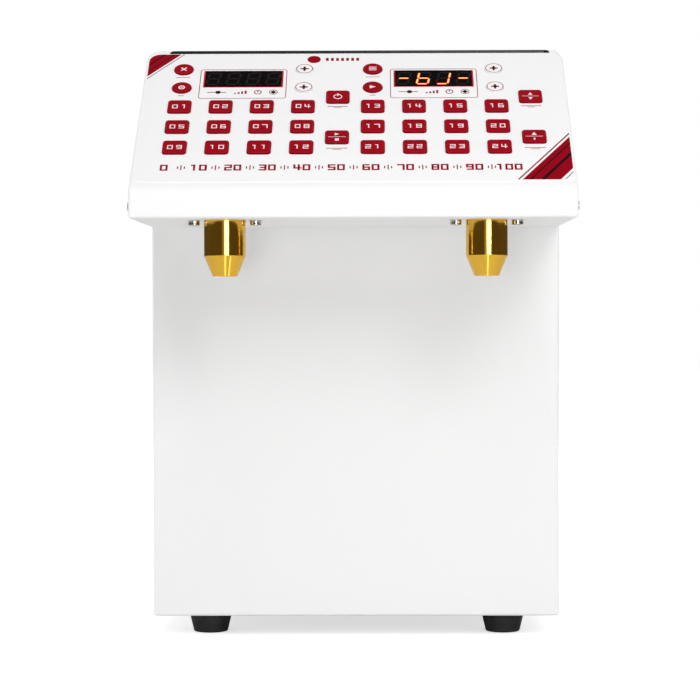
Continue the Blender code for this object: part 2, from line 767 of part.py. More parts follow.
def make_board(material, panel):
    """Makes the control board with a switch under each key and standoffs to the cover."""
    half = BOARD_WIDTH / 2
    board = block(
        (-half, BOARD_LOW, -BOARD_DEPTH - BOARD_THICKNESS), (half, BOARD_HIGH, -BOARD_DEPTH)
    )
    sunk = -BOARD_DEPTH - BOARD_THICKNESS / 2
    fittings = []
    for _, across, up, _ in key_table():
        width = SWITCH_WIDTH / 2
        fittings.append(
            block((across - width, up - width, sunk), (across + width, up + width, SWITCH_TOP))
        )
    middle = sum(BLOCK_CENTRES) / 2 + (KEY_COLUMN_PITCH - KEY_WIDTH)
    for x in (STANDOFF_INSET - half, middle, half - STANDOFF_INSET):
        for y in (BOARD_LOW + STANDOFF_INSET, BOARD_HIGH - STANDOFF_INSET):
            length = -SHEET - GAP - sunk
            fittings.append(rod((x, y, sunk), length, STANDOFF_RADIUS, "Z", 8))
    combine(board, [join_loose(fittings)], "UNION")
    return name_piece(board, "control_board", material, panel)


def make_lid(black):
    """Makes the hinged lid: a flat border, a raised middle, a grip and two knuckles."""
    half = LID_WIDTH / 2
    left = LID_SHIFT - half
    right = LID_SHIFT + half
    base = LID_SEAT + GAP
    lid = extrude_outline(
        rounded_rectangle((left, SLOPE_TOP), (right, LID_BACK), LID_CORNER),
        base,
        LID_THICKNESS,
    )
    reach = TANK_WIDTH / 2 + TANK_FLANGE + POCKET_MARGIN
    front = TANK_FRONT - TANK_FLANGE - POCKET_MARGIN
    back = TANK_BACK + TANK_FLANGE + POCKET_MARGIN
    corner = TANK_CORNER + TANK_FLANGE
    skin = LID_THICKNESS
    plateau = extrude_outline(
        rounded_rectangle(
            (LID_SHIFT - reach - skin, front - skin), (LID_SHIFT + reach + skin, back + skin), corner
        ),
        base + LID_THICKNESS / 2,
        LID_THICKNESS / 2 + LID_RISE,
    )
    combine(lid, [plateau], "UNION")
    pocket = extrude_outline(
        rounded_rectangle(
            (LID_SHIFT - reach, front), (LID_SHIFT + reach, back), corner - LID_THICKNESS
        ),
        base - LID_THICKNESS,
        LID_THICKNESS + LID_RISE,
    )
    combine(lid, [pocket], "DIFFERENCE")
    top = base + LID_THICKNESS + LID_RISE
    grip_y = SLOPE_TOP + GRIP_SETBACK
    grip = extrude_outline(
        rounded_rectangle(
            (LID_SHIFT - GRIP_LENGTH / 2, grip_y - GRIP_WIDTH / 2),
            (LID_SHIFT + GRIP_LENGTH / 2, grip_y + GRIP_WIDTH / 2),
            GRIP_WIDTH / 2.5,
        ),
        top - LID_THICKNESS / 2,
        LID_THICKNESS / 2 + GRIP_HEIGHT,
    )
    combine(lid, [grip], "UNION")
    for side in (-1, 1):
        combine(lid, hinge_knuckle(side, back), "UNION")
    shift_origin(lid, (0, HINGE_Y, HINGE_Z))
    return name_piece(lid, "lid", black, None, (0, HINGE_Y, HINGE_Z))


def hinge_knuckle(side, arm_front):
    """Makes one arm of the lid with its knuckle and the pin that turns in the ears."""
    middle = LID_SHIFT + side * HINGE_SPACING / 2
    half = KNUCKLE_LENGTH / 2
    arm = block(
        (middle - half, arm_front, DECK + HINGE_LIFT), (middle + half, HINGE_Y, HINGE_Z)
    )
    root = block(
        (middle - half, arm_front, LID_SEAT + LID_THICKNESS / 2),
        (middle + half, LID_BACK - LID_THICKNESS / 2, HINGE_Z),
    )
    knuckle = rod((middle - half, HINGE_Y, HINGE_Z), KNUCKLE_LENGTH, KNUCKLE_RADIUS, "X", 16)
    reach = half + PIN_GAP + HINGE_EAR
    pin = rod((middle - reach, HINGE_Y, HINGE_Z), 2 * reach, HINGE_PIN_RADIUS, "X", 12)
    return [root, arm, knuckle, pin]


def make_tank(steel):
    """Makes the twin syrup tank, which hangs by its rim in the deck's mouth."""
    half = TANK_WIDTH / 2
    left = LID_SHIFT - half
    right = LID_SHIFT + half
    rim_base = LID_SEAT + GAP
    tank = extrude_outline(
        rounded_rectangle((left, TANK_FRONT), (right, TANK_BACK), TANK_CORNER),
        TANK_FLOOR,
        rim_base + TANK_WALL - TANK_FLOOR,
    )
    rim = extrude_outline(
        rounded_rectangle(
            (left - TANK_FLANGE, TANK_FRONT - TANK_FLANGE),
            (right + TANK_FLANGE, TANK_BACK + TANK_FLANGE),
            TANK_CORNER + TANK_FLANGE,
        ),
        rim_base,
        TANK_WALL,
    )
    combine(tank, [rim], "UNION")
    spout_y = PUMP_Y
    for side in (-1, 1):
        x = side * PUMP_SPACING / 2
        start = (x, spout_y, TANK_FLOOR - SPOUT_LENGTH)
        combine(tank, [rod(start, SPOUT_LENGTH + TANK_WALL / 2, SPOUT_RADIUS, "Z", 16)], "UNION")
    hollows = []
    for low, high in (
        (left + TANK_WALL, LID_SHIFT - TANK_WALL / 2),
        (LID_SHIFT + TANK_WALL / 2, right - TANK_WALL),
    ):
        hollows.append(
            extrude_outline(
                rounded_rectangle(
                    (low, TANK_FRONT + TANK_WALL),
                    (high, TANK_BACK - TANK_WALL),
                    TANK_CORNER - TANK_WALL,
                ),
                TANK_FLOOR + TANK_WALL,
                DECK - TANK_FLOOR,
            )
        )
    combine(tank, [join_loose(hollows)], "DIFFERENCE")
    for side in (-1, 1):
        start = (side * PUMP_SPACING / 2, spout_y, TANK_FLOOR - 2 * SPOUT_LENGTH)
        bore = rod(start, 2 * SPOUT_LENGTH + 2 * TANK_WALL, SPOUT_BORE, "Z", 12)
        combine(tank, [bore], "DIFFERENCE")
    return name_piece(tank, "syrup_tank", steel)


def make_nozzle(name, side, gold):
    """Makes one nozzle: barrel, cone, inner flange, hose barb and its two screws."""
    tip = -NOZZLE_BARREL - NOZZLE_CONE
    flange_top = FLANGE_SEAT + FLANGE_THICKNESS
    chamfer = BARB_RADIUS / 6
    nozzle = turned(
        [
            (NOZZLE_MOUTH_RADIUS, tip),
            (NOZZLE_TIP_RADIUS, tip),
            (NOZZLE_RADIUS, -NOZZLE_BARREL),
            (NOZZLE_RADIUS, flange_top - FLANGE_THICKNESS / 2),
            (BARB_RADIUS, flange_top - FLANGE_THICKNESS / 2),
            (BARB_RADIUS, BARB_TOP - chamfer),
            (BARB_RADIUS - chamfer, BARB_TOP),
            (NOZZLE_BORE, BARB_TOP),
            (NOZZLE_BORE, tip + NOZZLE_MOUTH_DEPTH + NOZZLE_MOUTH_RADIUS),
            (NOZZLE_MOUTH_RADIUS, tip + NOZZLE_MOUTH_DEPTH),
        ],
        NOZZLE_SIDES,
    )
    half_long = FLANGE_SCREW_OFFSET + FLANGE_OVERHANG
    outline = rounded_rectangle(
        (-half_long, -FLANGE_WIDTH / 2), (half_long, FLANGE_WIDTH / 2), FLANGE_WIDTH / 2.5
    )
    flange = extrude_outline(outline, FLANGE_SEAT, FLANGE_THICKNESS)
    bore = rod((0, 0, FLANGE_SEAT - SHEET), FLANGE_THICKNESS + 2 * SHEET, BARB_RADIUS - chamfer)
    combine(flange, [bore], "DIFFERENCE")
    combine(nozzle, [flange], "UNION")
    for hand in (-1, 1):
        x = hand * FLANGE_SCREW_OFFSET
        head = rod(
            (x, 0, -GAP - FLANGE_SCREW_HEAD_HEIGHT),
            FLANGE_SCREW_HEAD_HEIGHT,
            FLANGE_SCREW_HEAD,
            "Z",
            16,
        )
        base = -GAP - FLANGE_SCREW_HEAD_HEIGHT / 2
        shank = rod((x, 0, base), FLANGE_SEAT + SHEET - base, FLANGE_SCREW_RADIUS, "Z", 8)
        combine(head, [shank], "UNION")
        combine(nozzle, [head], "UNION")
    place = (NOZZLE_SHIFT + side * NOZZLE_SPACING / 2, NOZZLE_Y, UNDERSIDE)
    return name_piece(nozzle, name, gold, None, place)


def make_foot(name, x, y, rubber):
    """Makes one rubber foot, whose rounded base stands on the table."""
    top = FLOOR - GAP
    arc = []
    for step in range(4):
        angle = math.pi / 2 * step / 3
        radius = FOOT_BASE_RADIUS - FOOT_EDGE * (1 - math.sin(angle))
        arc.append((radius, FOOT_EDGE * (1 - math.cos(angle))))
    profile = [(0.0, 0.0)] + arc + [(FOOT_RADIUS, top - FOOT_EDGE), (FOOT_RADIUS, top), (0.0, top)]
    shape = bmesh.new()
    verts = [shape.verts.new((radius, 0.0, height)) for radius, height in profile]
    edges = [shape.edges.new((verts[i], verts[i + 1])) for i in range(len(verts) - 1)]
    bmesh.ops.spin(
        shape,
        geom=verts + edges,
        cent=(0, 0, 0),
        axis=(0, 0, 1),
        angle=2 * math.pi,
        steps=FOOT_SIDES,
        use_merge=True,
    )
    bmesh.ops.remove_doubles(shape, verts=shape.verts, dist=1e-6)
    return name_piece(solid(mesh_from(shape)), name, rubber, None, (x, y, 0))


def make_pump(name, side, grey):
    """Makes one motor pump on its base plate, with its intake pipe and outlet."""
    bottom = INNER_FLOOR + GAP - PUMP_Z
    half_head = PUMP_HEAD_WIDTH / 2
    head_back = PUMP_HEAD_DEPTH / 2
    motor_front = head_back + COUPLING_SPACE
    back = motor_front + MOTOR_LENGTH
    base_half = PUMP_BASE_WIDTH / 2
    pedestal = PEDESTAL_WIDTH / 2
    pump = block((-base_half, -head_back, bottom), (base_half, back, bottom + PUMP_BASE_THICKNESS))
    sunk = bottom + PUMP_BASE_THICKNESS / 2
    overlap = PUMP_BASE_THICKNESS
    head = block((-half_head, -head_back, -half_head), (half_head, head_back, half_head))
    head_post = block((-pedestal, -head_back, sunk), (pedestal, head_back, overlap - half_head))
    saddle = block(
        (-pedestal, motor_front + overlap, sunk), (pedestal, back - overlap, -MOTOR_RADIUS / 2)
    )
    motor = rod((0, motor_front, 0), MOTOR_LENGTH, MOTOR_RADIUS, "Y", MOTOR_SIDES)
    riser_top = TANK_FLOOR - SPOUT_LENGTH - GAP - PUMP_Z
    riser = rod((0, 0, 0), riser_top, RISER_RADIUS, "Z", 12)
    outlet = rod((0, -head_back - OUTLET_LENGTH, 0), 2 * OUTLET_LENGTH, OUTLET_RADIUS, "Y", 12)
    combine(pump, [head_post, head, saddle, motor, riser, outlet], "UNION")
    shaft_hole = rod(
        (0, head_back - SHAFT_ENTRY - GAP, 0),
        COUPLING_SPACE + 2 * SHAFT_ENTRY + 2 * GAP,
        SHAFT_RADIUS + PIN_GAP,
        "Y",
        16,
    )
    combine(pump, [shaft_hole], "DIFFERENCE")
    return name_piece(pump, name, grey, None, (side * PUMP_SPACING / 2, PUMP_Y, PUMP_Z))


def make_shaft(name, side, steel):
    """Makes one pump's drive shaft with the coupling hub and its clamp screw."""
    head_back = PUMP_HEAD_DEPTH / 2
    middle = head_back + COUPLING_SPACE / 2
    length = COUPLING_SPACE + 2 * SHAFT_ENTRY
    shaft = rod((0, middle - length / 2, 0), length, SHAFT_RADIUS, "Y", 16)
    hub = rod((0, middle - HUB_LENGTH / 2, 0), HUB_LENGTH, HUB_RADIUS, "Y", 16)
    half = HUB_SCREW_WIDTH / 2
    screw = block(
        (-half, middle - half, 0), (half, middle + half, HUB_RADIUS + HUB_SCREW_RISE)
    )
    combine(shaft, [hub, screw], "UNION")
    return name_piece(shaft, name, steel, None, (side * PUMP_SPACING / 2, PUMP_Y, PUMP_Z))


def smooth_route(points, steps):
    """Reads points from a smooth curve through a route's own points."""
    route = [Vector(p) for p in points]
    last = len(route) - 1
    aims = []
    for i in range(last + 1):
        aims.append((route[min(i + 1, last)] - route[max(i - 1, 0)]).normalized())
    found = []
    for i in range(last):
        reach = (route[i + 1] - route[i]).length / 3
        found += interpolate_bezier(
            route[i],
            route[i] + aims[i] * reach,
            route[i + 1] - aims[i + 1] * reach,
            route[i + 1],
            steps + 1,
        )[:-1]
    return found + [route[last]]


def make_hose(name, side, silicone):
    """Makes one hose: out of the pump, up behind the body's front and down to the nozzle."""
    pump_x = side * PUMP_SPACING / 2
    nozzle_x = NOZZLE_SHIFT + side * NOZZLE_SPACING / 2
    shift = nozzle_x - pump_x
    start_y = PUMP_Y - PUMP_HEAD_DEPTH / 2 - OUTLET_LENGTH - GAP
    rise_y = BODY_FRONT + SHEET + HOSE_CLEAR + HOSE_RADIUS
    low_bend = start_y - HOSE_RADIUS - rise_y
    barb = UNDERSIDE + BARB_TOP + GAP
    turn_z = barb + HOSE_RADIUS
    high = turn_z + HOSE_BEND
    rise = turn_z - PUMP_Z - low_bend
    near = 1 - math.sqrt(0.5)
    points = [
        (pump_x, start_y, PUMP_Z),
        (pump_x, start_y - HOSE_RADIUS, PUMP_Z),
        (pump_x, rise_y + low_bend * near, PUMP_Z + low_bend * near),
        (pump_x, rise_y, PUMP_Z + low_bend),
        (pump_x + shift / 6, rise_y, PUMP_Z + low_bend + rise / 4),
        (pump_x + shift / 2, rise_y, PUMP_Z + low_bend + rise / 2),
        (nozzle_x - shift / 6, rise_y, PUMP_Z + low_bend + 3 * rise / 4),
        (nozzle_x, rise_y, turn_z),
        (nozzle_x, rise_y - HOSE_BEND * near, high - HOSE_BEND * near),
        (nozzle_x, rise_y - HOSE_BEND, high),
        (nozzle_x, NOZZLE_Y + HOSE_BEND, high),
        (nozzle_x, NOZZLE_Y + HOSE_BEND * near, high - HOSE_BEND * near),
        (nozzle_x, NOZZLE_Y, turn_z),
        (nozzle_x, NOZZLE_Y, barb),
    ]
    curve = bpy.data.curves.new(name, "CURVE")
    curve.dimensions = "3D"
    found = smooth_route(points, HOSE_STEPS)
    spline = curve.splines.new("POLY")
    spline.points.add(len(found) - 1)
    for slot, place in zip(spline.points, found):
        slot.co = (*place, 1.0)
    curve.bevel_depth = HOSE_RADIUS
    curve.bevel_resolution = 2
    curve.use_fill_caps = True
    curve.materials.append(silicone)
    hose = bpy.data.objects.new(name, curve)
    bpy.context.collection.objects.link(hose)
    return hose


def make_supply(grey):
    """Makes the power supply on the floor between the motors."""
    half = SUPPLY_WIDTH / 2
    back = BODY_BACK - SUPPLY_BACK_SPACE
    base = INNER_FLOOR + GAP
    supply = block(
        (-half, back - SUPPLY_DEPTH, base + SUPPLY_FOOT), (half, back, base + SUPPLY_HEIGHT)
    )
    for x in (SUPPLY_FOOT - half, half - 2 * SUPPLY_FOOT):
        for y in (back - SUPPLY_DEPTH + SUPPLY_FOOT, back - 2 * SUPPLY_FOOT):
            pad = block((x, y, base), (x + SUPPLY_FOOT, y + SUPPLY_FOOT, base + 2 * SUPPLY_FOOT))
            combine(supply, [pad], "UNION")
    return name_piece(supply, "power_supply", grey)


def make_rear_cover(white):
    """Makes the screwed-on rear sheet with its vents and the inlet's cut-out."""
    half = HALF_WIDTH - REAR_FLANGE + COVER_OVERLAP
    low = FLOOR + REAR_FLANGE - COVER_OVERLAP
    high = DECK - REAR_TOP_MARGIN + COVER_OVERLAP
    face = BODY_BACK + GAP
    cover = extrude_outline(
        rounded_rectangle((-half, low), (half, high), CORNER_BEND), face, SHEET, "Y"
    )
    cuts = []
    for column in range(VENT_COLUMNS):
        middle = (column - (VENT_COLUMNS - 1) / 2) * VENT_SPACING
        for row in range(VENT_ROWS):
            z = FLOOR + VENT_BASE + row * VENT_PITCH
            outline = round_corners(
                rectangle((middle - VENT_LENGTH / 2, z), (middle + VENT_LENGTH / 2, z + VENT_HEIGHT)),
                [VENT_HEIGHT / 3] * 4,
                1,
            )
            cuts.append(extrude_outline(outline, face - SHEET, 3 * SHEET, "Y"))
    half_wide = INLET_WIDTH / 2 + GAP
    half_tall = INLET_TALL / 2 + GAP
    cuts.append(
        block(
            (INLET_X - half_wide, face - SHEET, INLET_Z - half_tall),
            (INLET_X + half_wide, face + 2 * SHEET, INLET_Z + half_tall),
        )
    )
    combine(cover, [join_loose(cuts)], "DIFFERENCE")
    return name_piece(cover, "rear_cover", white)


def rocker_place():
    """Gives the rocker's pivot: behind the bezel's face, over the socket."""
    return (INLET_X, BODY_BACK + REAR_PROUD - ROCKER_SINK - ROCKER_DEPTH / 2, INLET_Z + ROCKER_RISE)


def make_inlet(black):
    """Makes the mains inlet: flange, body, socket with three contacts and the rocker's well."""
    seat = BODY_BACK + GAP + SHEET + GAP
    face = BODY_BACK + REAR_PROUD
    half_wide = INLET_WIDTH / 2
    half_tall = INLET_TALL / 2
    outline = rounded_rectangle(
        (INLET_X - half_wide - INLET_FLANGE, INLET_Z - half_tall - INLET_FLANGE),
        (INLET_X + half_wide + INLET_FLANGE, INLET_Z + half_tall + INLET_FLANGE),
        INLET_FLANGE,
    )
    inlet = extrude_outline(outline, seat, face - seat, "Y")
    body = block(
        (INLET_X - half_wide, BODY_BACK - INLET_BODY_DEPTH, INLET_Z - half_tall),
        (INLET_X + half_wide, seat + GAP, INLET_Z + half_tall),
    )
    combine(inlet, [body], "UNION")
    socket_z = INLET_Z + SOCKET_RISE
    floor_y = face - SOCKET_DEPTH
    socket = extrude_outline(
        rounded_rectangle(
            (INLET_X - SOCKET_WIDTH / 2, socket_z - SOCKET_TALL / 2),
            (INLET_X + SOCKET_WIDTH / 2, socket_z + SOCKET_TALL / 2),
            INLET_LEDGE,
            1,
        ),
        floor_y,
        2 * SOCKET_DEPTH,
        "Y",
    )
    pivot = rocker_place()
    well_wide = ROCKER_WIDTH / 2 + ROCKER_CLEAR
    well_tall = ROCKER_TALL / 2 + ROCKER_CLEAR
    well = block(
        (INLET_X - well_wide, face - ROCKER_WELL_DEPTH, pivot[2] - well_tall),
        (INLET_X + well_wide, face + SOCKET_DEPTH, pivot[2] + well_tall),
    )
    pin_reach = ROCKER_WIDTH / 2 + ROCKER_PIN_LENGTH + GAP
    pin_hole = rod(
        (INLET_X - pin_reach, pivot[1], pivot[2]),
        2 * pin_reach,
        ROCKER_PIN_RADIUS + PIN_GAP,
        "X",
        12,
    )
    combine(inlet, [socket, well, pin_hole], "DIFFERENCE")
    for across, rise in (
        (-CONTACT_SPACING, -EARTH_RISE / 2),
        (0.0, EARTH_RISE),
        (CONTACT_SPACING, -EARTH_RISE / 2),
    ):
        x = INLET_X + across
        z = socket_z + rise
        contact = block(
            (x - CONTACT_WIDTH / 2, floor_y - CONTACT_WIDTH, z - CONTACT_TALL / 2),
            (x + CONTACT_WIDTH / 2, floor_y + CONTACT_LENGTH, z + CONTACT_TALL / 2),
        )
        combine(inlet, [contact], "UNION")
    return name_piece(inlet, "power_inlet", black)


def make_rocker(black):
    """Makes the rocker of the mains switch, tipped to its off side, with its pivot pins."""
    half = ROCKER_TALL / 2
    depth = ROCKER_DEPTH / 2
    outline = [
        (-depth, -half),
        (depth + ROCKER_CROWN, -half),
        (depth, 0.0),
        (depth + ROCKER_CROWN, half),
        (-depth, half),
    ]
    rocker = extrude_outline(outline, -ROCKER_WIDTH / 2, ROCKER_WIDTH, "X")
    reach = ROCKER_WIDTH / 2 + ROCKER_PIN_LENGTH
    pin = rod((-reach, 0, 0), 2 * reach, ROCKER_PIN_RADIUS, "X", 12)
    combine(rocker, [pin], "UNION")
    rocker.data.transform(Matrix.Rotation(-ROCKER_TILT, 4, "X"))
    return name_piece(rocker, "power_rocker", black, None, rocker_place())


def make_panel(finishes):
    """Makes the pieces on and behind the slope."""
    panel = bpy.data.objects.new("panel_frame", None)
    bpy.context.collection.objects.link(panel)
    panel.matrix_world = slope_matrix()
    make_overlay(finishes["film"], panel)
    for name, across, up, kind in key_table():
        material = finishes["white_key"] if kind == "sign" else finishes["red_key"]
        make_key(name, across, up, kind, material, panel)
    for side, centre in zip(("left", "right"), BLOCK_CENTRES):
        make_display(f"display_{side}", centre, finishes["lens"], panel)
    make_board(finishes["board"], panel)


def make_sides(finishes):
    """Makes the pieces of each syrup channel."""
    for name, side in (("left", -1), ("right", 1)):
        make_nozzle(f"nozzle_{name}", side, finishes["gold"])
        make_pump(f"pump_{name}", side, finishes["grey"])
        make_shaft(f"pump_shaft_{name}", side, finishes["steel"])
        make_hose(f"hose_{name}", side, finishes["hose"])
        x = side * (HALF_WIDTH - FOOT_INSET)
        make_foot(f"foot_front_{name}", x, BODY_FRONT + FOOT_INSET, finishes["rubber"])
        make_foot(f"foot_rear_{name}", x, BODY_BACK - FOOT_INSET, finishes["rubber"])


def main():
    """Builds the whole dispenser."""
    clear_scene()
    finishes = {
        "white": finish("white_powder_coat", (0.86, 0.86, 0.86), 0.30),
        "film": finish("white_film", (0.88, 0.88, 0.88), 0.35),
        "red_key": finish("crimson_key", (0.36, 0.004, 0.020), 0.30),
        "white_key": finish("white_key", (0.85, 0.83, 0.83), 0.32),
        "lens": finish("smoked_lens", (0.008, 0.004, 0.004), 0.10),
        "board": finish("circuit_board", (0.02, 0.16, 0.06), 0.45),
        "gold": finish("gold_plated_brass", (0.83, 0.52, 0.13), 0.16, 1.0),
        "steel": finish("stainless_steel", (0.62, 0.62, 0.62), 0.28, 1.0),
        "grey": finish("motor_grey", (0.22, 0.23, 0.24), 0.45),
        "black": finish("black_plastic", (0.012, 0.012, 0.013), 0.40),
        "rubber": finish("black_rubber", (0.015, 0.015, 0.015), 0.80),
        "hose": finish("silicone_hose", (0.75, 0.74, 0.70), 0.40),
    }
    make_casing(finishes["white"])
    make_front_cover(finishes["white"])
    make_panel(finishes)
    make_lid(finishes["black"])
    make_tank(finishes["steel"])
    make_sides(finishes)
    make_supply(finishes["grey"])
    make_rear_cover(finishes["white"])
    make_inlet(finishes["black"])
    make_rocker(finishes["black"])


main()
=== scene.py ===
"""Looks of a white twin-nozzle fructose dispenser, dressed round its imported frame.

Metres, +Z up, the front faces -Y. Each sub-assembly is a class that models its pieces in
place and hands them to the body that carries them.
"""

import logging
import math
from dataclasses import dataclass, field
from enum import Enum
from typing import Any, Callable, Iterable, Optional, Sequence

import bmesh
import bpy
from mathutils import Matrix, Vector


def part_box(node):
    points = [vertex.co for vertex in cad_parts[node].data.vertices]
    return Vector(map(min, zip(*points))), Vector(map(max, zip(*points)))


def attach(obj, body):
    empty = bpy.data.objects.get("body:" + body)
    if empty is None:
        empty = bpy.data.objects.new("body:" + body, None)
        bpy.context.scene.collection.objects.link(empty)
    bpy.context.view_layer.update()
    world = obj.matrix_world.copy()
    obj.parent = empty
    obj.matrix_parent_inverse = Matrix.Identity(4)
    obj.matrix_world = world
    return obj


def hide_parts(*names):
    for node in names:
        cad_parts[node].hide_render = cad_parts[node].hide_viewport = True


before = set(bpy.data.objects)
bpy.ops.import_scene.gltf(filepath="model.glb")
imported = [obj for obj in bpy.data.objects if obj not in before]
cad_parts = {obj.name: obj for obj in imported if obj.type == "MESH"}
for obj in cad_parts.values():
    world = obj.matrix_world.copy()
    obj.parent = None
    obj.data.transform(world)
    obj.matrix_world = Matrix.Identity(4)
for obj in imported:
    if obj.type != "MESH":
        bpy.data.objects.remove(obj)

LOG = logging.getLogger("dispenser")

Colour = tuple[float, float, float]
Point = tuple[float, float]

LIP_FRONT = -0.206
LIP_TOP = 0.355
UNDERSIDE = 0.334
DECK = 0.474
SLOPE_TOP = -0.058
SLOPE_ANGLE = math.atan2(DECK - LIP_TOP, SLOPE_TOP - LIP_FRONT)
SLOPE = Matrix.Translation((0, LIP_FRONT, LIP_TOP)) @ Matrix.Rotation(SLOPE_ANGLE, 4, "X")
FILM_TOP = 0.0011
INK = 0.00006
ARROW = 0.0034
CABINET = "cabinet"
NOZZLES = (("left", -0.0965), ("right", 0.0997))
NOZZLE_Y = -0.168


class Signal:
    """A socket's output, whose operators add Math nodes to its tree."""

    def __init__(self, recipe: "Recipe", socket: bpy.types.NodeSocket) -> None:
        """Keeps the tree and the socket."""
        self.recipe = recipe
        self.socket = socket

    def _maths(self, operation: str, first: Any, second: Any) -> "Signal":
        """Adds one Math node.

        Args:
            operation: The node's operation.
            first: A number or signal.
            second: A number or signal.

        Returns:
            The result's signal.
        """
        return self.recipe.node("ShaderNodeMath", {"operation": operation}, {0: first, 1: second})

    def __add__(self, other: Any) -> "Signal":
        """Adds."""
        return self._maths("ADD", self, other)

    def __radd__(self, other: Any) -> "Signal":
        """Adds, from the right."""
        return self._maths("ADD", other, self)

    def __sub__(self, other: Any) -> "Signal":
        """Subtracts."""
        return self._maths("SUBTRACT", self, other)

    def __rsub__(self, other: Any) -> "Signal":
        """Subtracts from a number."""
        return self._maths("SUBTRACT", other, self)

    def __mul__(self, other: Any) -> "Signal":
        """Multiplies."""
        return self._maths("MULTIPLY", self, other)

    def __rmul__(self, other: Any) -> "Signal":
        """Multiplies, from the right."""
        return self._maths("MULTIPLY", other, self)

    def above(self, level: float) -> "Signal":
        """Gives 1 where the signal is over a level, and 0 elsewhere."""
        return self._maths("GREATER_THAN", self, level)


class Recipe:
    """A material's node tree under way."""

    def __init__(self, name: str) -> None:
        """Starts a material with its Principled shader."""
        self.material = bpy.data.materials.new(name)
        self.material.use_nodes = True
        self.tree = self.material.node_tree
        self.shader = self.tree.nodes["Principled BSDF"]

    def node(
        self,
        kind: str,
        settings: Optional[dict[str, Any]] = None,
        inputs: Optional[dict[Any, Any]] = None,
        output: Any = 0,
    ) -> Signal:
        """Adds one node.

        Args:
            kind: The node's type.
            settings: Its properties, set first.
            inputs: Values or signals for its sockets.
            output: The index or name of the output wanted.

        Returns:
            That output's signal.
        """
        made = self.tree.nodes.new(kind)
        for key, value in (settings or {}).items():
            setattr(made, key, value)
        for key, value in (inputs or {}).items():
            self.feed(made.inputs[key], value)
        return Signal(self, made.outputs[output])

    def feed(self, socket: bpy.types.NodeSocket, value: Any) -> None:
        """Links a signal to a socket, or sets its value.

        Args:
            socket: The input.
            value: A signal, number, colour or vector.
        """
        if isinstance(value, Signal):
            self.tree.links.new(value.socket, socket)
        elif socket.type == "RGBA" and len(value) == 3:
            socket.default_value = (*value, 1.0)
        else:
            socket.default_value = value

    def set(self, **values: Any) -> None:
        """Feeds sockets of the Principled shader; an underscore in a name is a space."""
        for key, value in values.items():
            self.feed(self.shader.inputs[key.replace("_", " ")], value)

    def coordinates(self, scale: Sequence[float] = (1, 1, 1), turn: float = 0.0) -> Signal:
        """Gives the piece's own coordinates, scaled and turned about Z.

        Args:
            scale: Scale along each axis.
            turn: Turn in radians.

        Returns:
            A vector signal.
        """
        plain = self.node("ShaderNodeTexCoord", output="Object")
        mapped = {"Vector": plain, "Scale": tuple(scale), "Rotation": (0, 0, turn)}
        return self.node("ShaderNodeMapping", inputs=mapped)

    def noise(
        self, scale: float, detail: float = 2.0, along: Optional[Signal] = None, rough: float = 0.5
    ) -> Signal:
        """Adds a noise texture.

        Args:
            scale: Waves per metre.
            detail: Octaves.
            along: Vector to read it at.
            rough: Strength of the finer octaves.

        Returns:
            The noise, from 0 to 1.
        """
        vector = along or self.coordinates()
        inputs = {"Vector": vector, "Scale": scale, "Detail": detail, "Roughness": rough}
        return self.node("ShaderNodeTexNoise", inputs=inputs)

    def blend(self, share: Any, first: Any, second: Any) -> Signal:
        """Mixes two colours.

        Args:
            share: How much of the second, 0 to 1.
            first: Colour or signal.
            second: Colour or signal.

        Returns:
            The mixed colour.
        """
        inputs = {0: share, 6: first, 7: second}
        return self.node("ShaderNodeMix", {"data_type": "RGBA"}, inputs, 2)

    def bump(self, height: Signal, strength: float, distance: float) -> None:
        """Raises the surface by a height.

        Args:
            height: Height signal, 0 to 1.
            strength: Strength of the bump.
            distance: Height of 1, in metres.
        """
        inputs = {"Height": height, "Strength": strength, "Distance": distance}
        self.set(Normal=self.node("ShaderNodeBump", inputs=inputs))


def shade(colour: Colour, factor: float) -> Colour:
    """Scales a colour's brightness."""
    return (colour[0] * factor, colour[1] * factor, colour[2] * factor)


@dataclass(frozen=True)
class PowderCoat:
    """Gloss powder coat on sheet steel: a faint orange peel under a clear gloss."""

    name: str
    colour: Colour
    roughness: float = 0.44
    peel: float = 330.0

    def material(self) -> bpy.types.Material:
        """Makes the material."""
        recipe = Recipe(self.name)
        cloud = recipe.noise(7.0, 3.0)
        peel = recipe.noise(self.peel, 1.0)
        speck = recipe.noise(self.peel * 6, 1.0)
        dust = recipe.noise(45.0, 6.0, rough=0.7)
        recipe.set(Base_Color=recipe.blend(cloud, shade(self.colour, 0.985), self.colour))
        recipe.set(Roughness=self.roughness + 0.05 * (cloud - 0.5) + 0.05 * (dust - 0.5))
        recipe.set(Specular_IOR_Level=0.32, Coat_Weight=0.04, Coat_Roughness=0.2)
        recipe.bump(peel * 0.8 + speck * 0.2, 0.10, 0.0004)
        return recipe.material


@dataclass(frozen=True)
class Moulded:
    """Moulded or printed plastic: colour drift, fine grain and handling marks."""

    name: str
    colour: Colour
    roughness: float = 0.35
    drift: float = 0.06
    grain: float = 1400.0
    grain_strength: float = 0.10
    coat: float = 0.0
    sheen: float = 0.5

    def material(self) -> bpy.types.Material:
        """Makes the material."""
        recipe = Recipe(self.name)
        cloud = recipe.noise(60.0, 3.0)
        grain = recipe.noise(self.grain, 2.0)
        smear = recipe.noise(1.0, 5.0, recipe.coordinates((240, 90, 160)), 0.65)
        dark = shade(self.colour, 1 - self.drift)
        bright = shade(self.colour, 1 + self.drift)
        recipe.set(Base_Color=recipe.blend(cloud, dark, bright))
        recipe.set(Roughness=self.roughness + 0.10 * (smear - 0.5))
        recipe.set(Coat_Weight=self.coat, Coat_Roughness=0.08, Specular_IOR_Level=self.sheen)
        recipe.bump(grain, self.grain_strength, 0.0002)
        return recipe.material


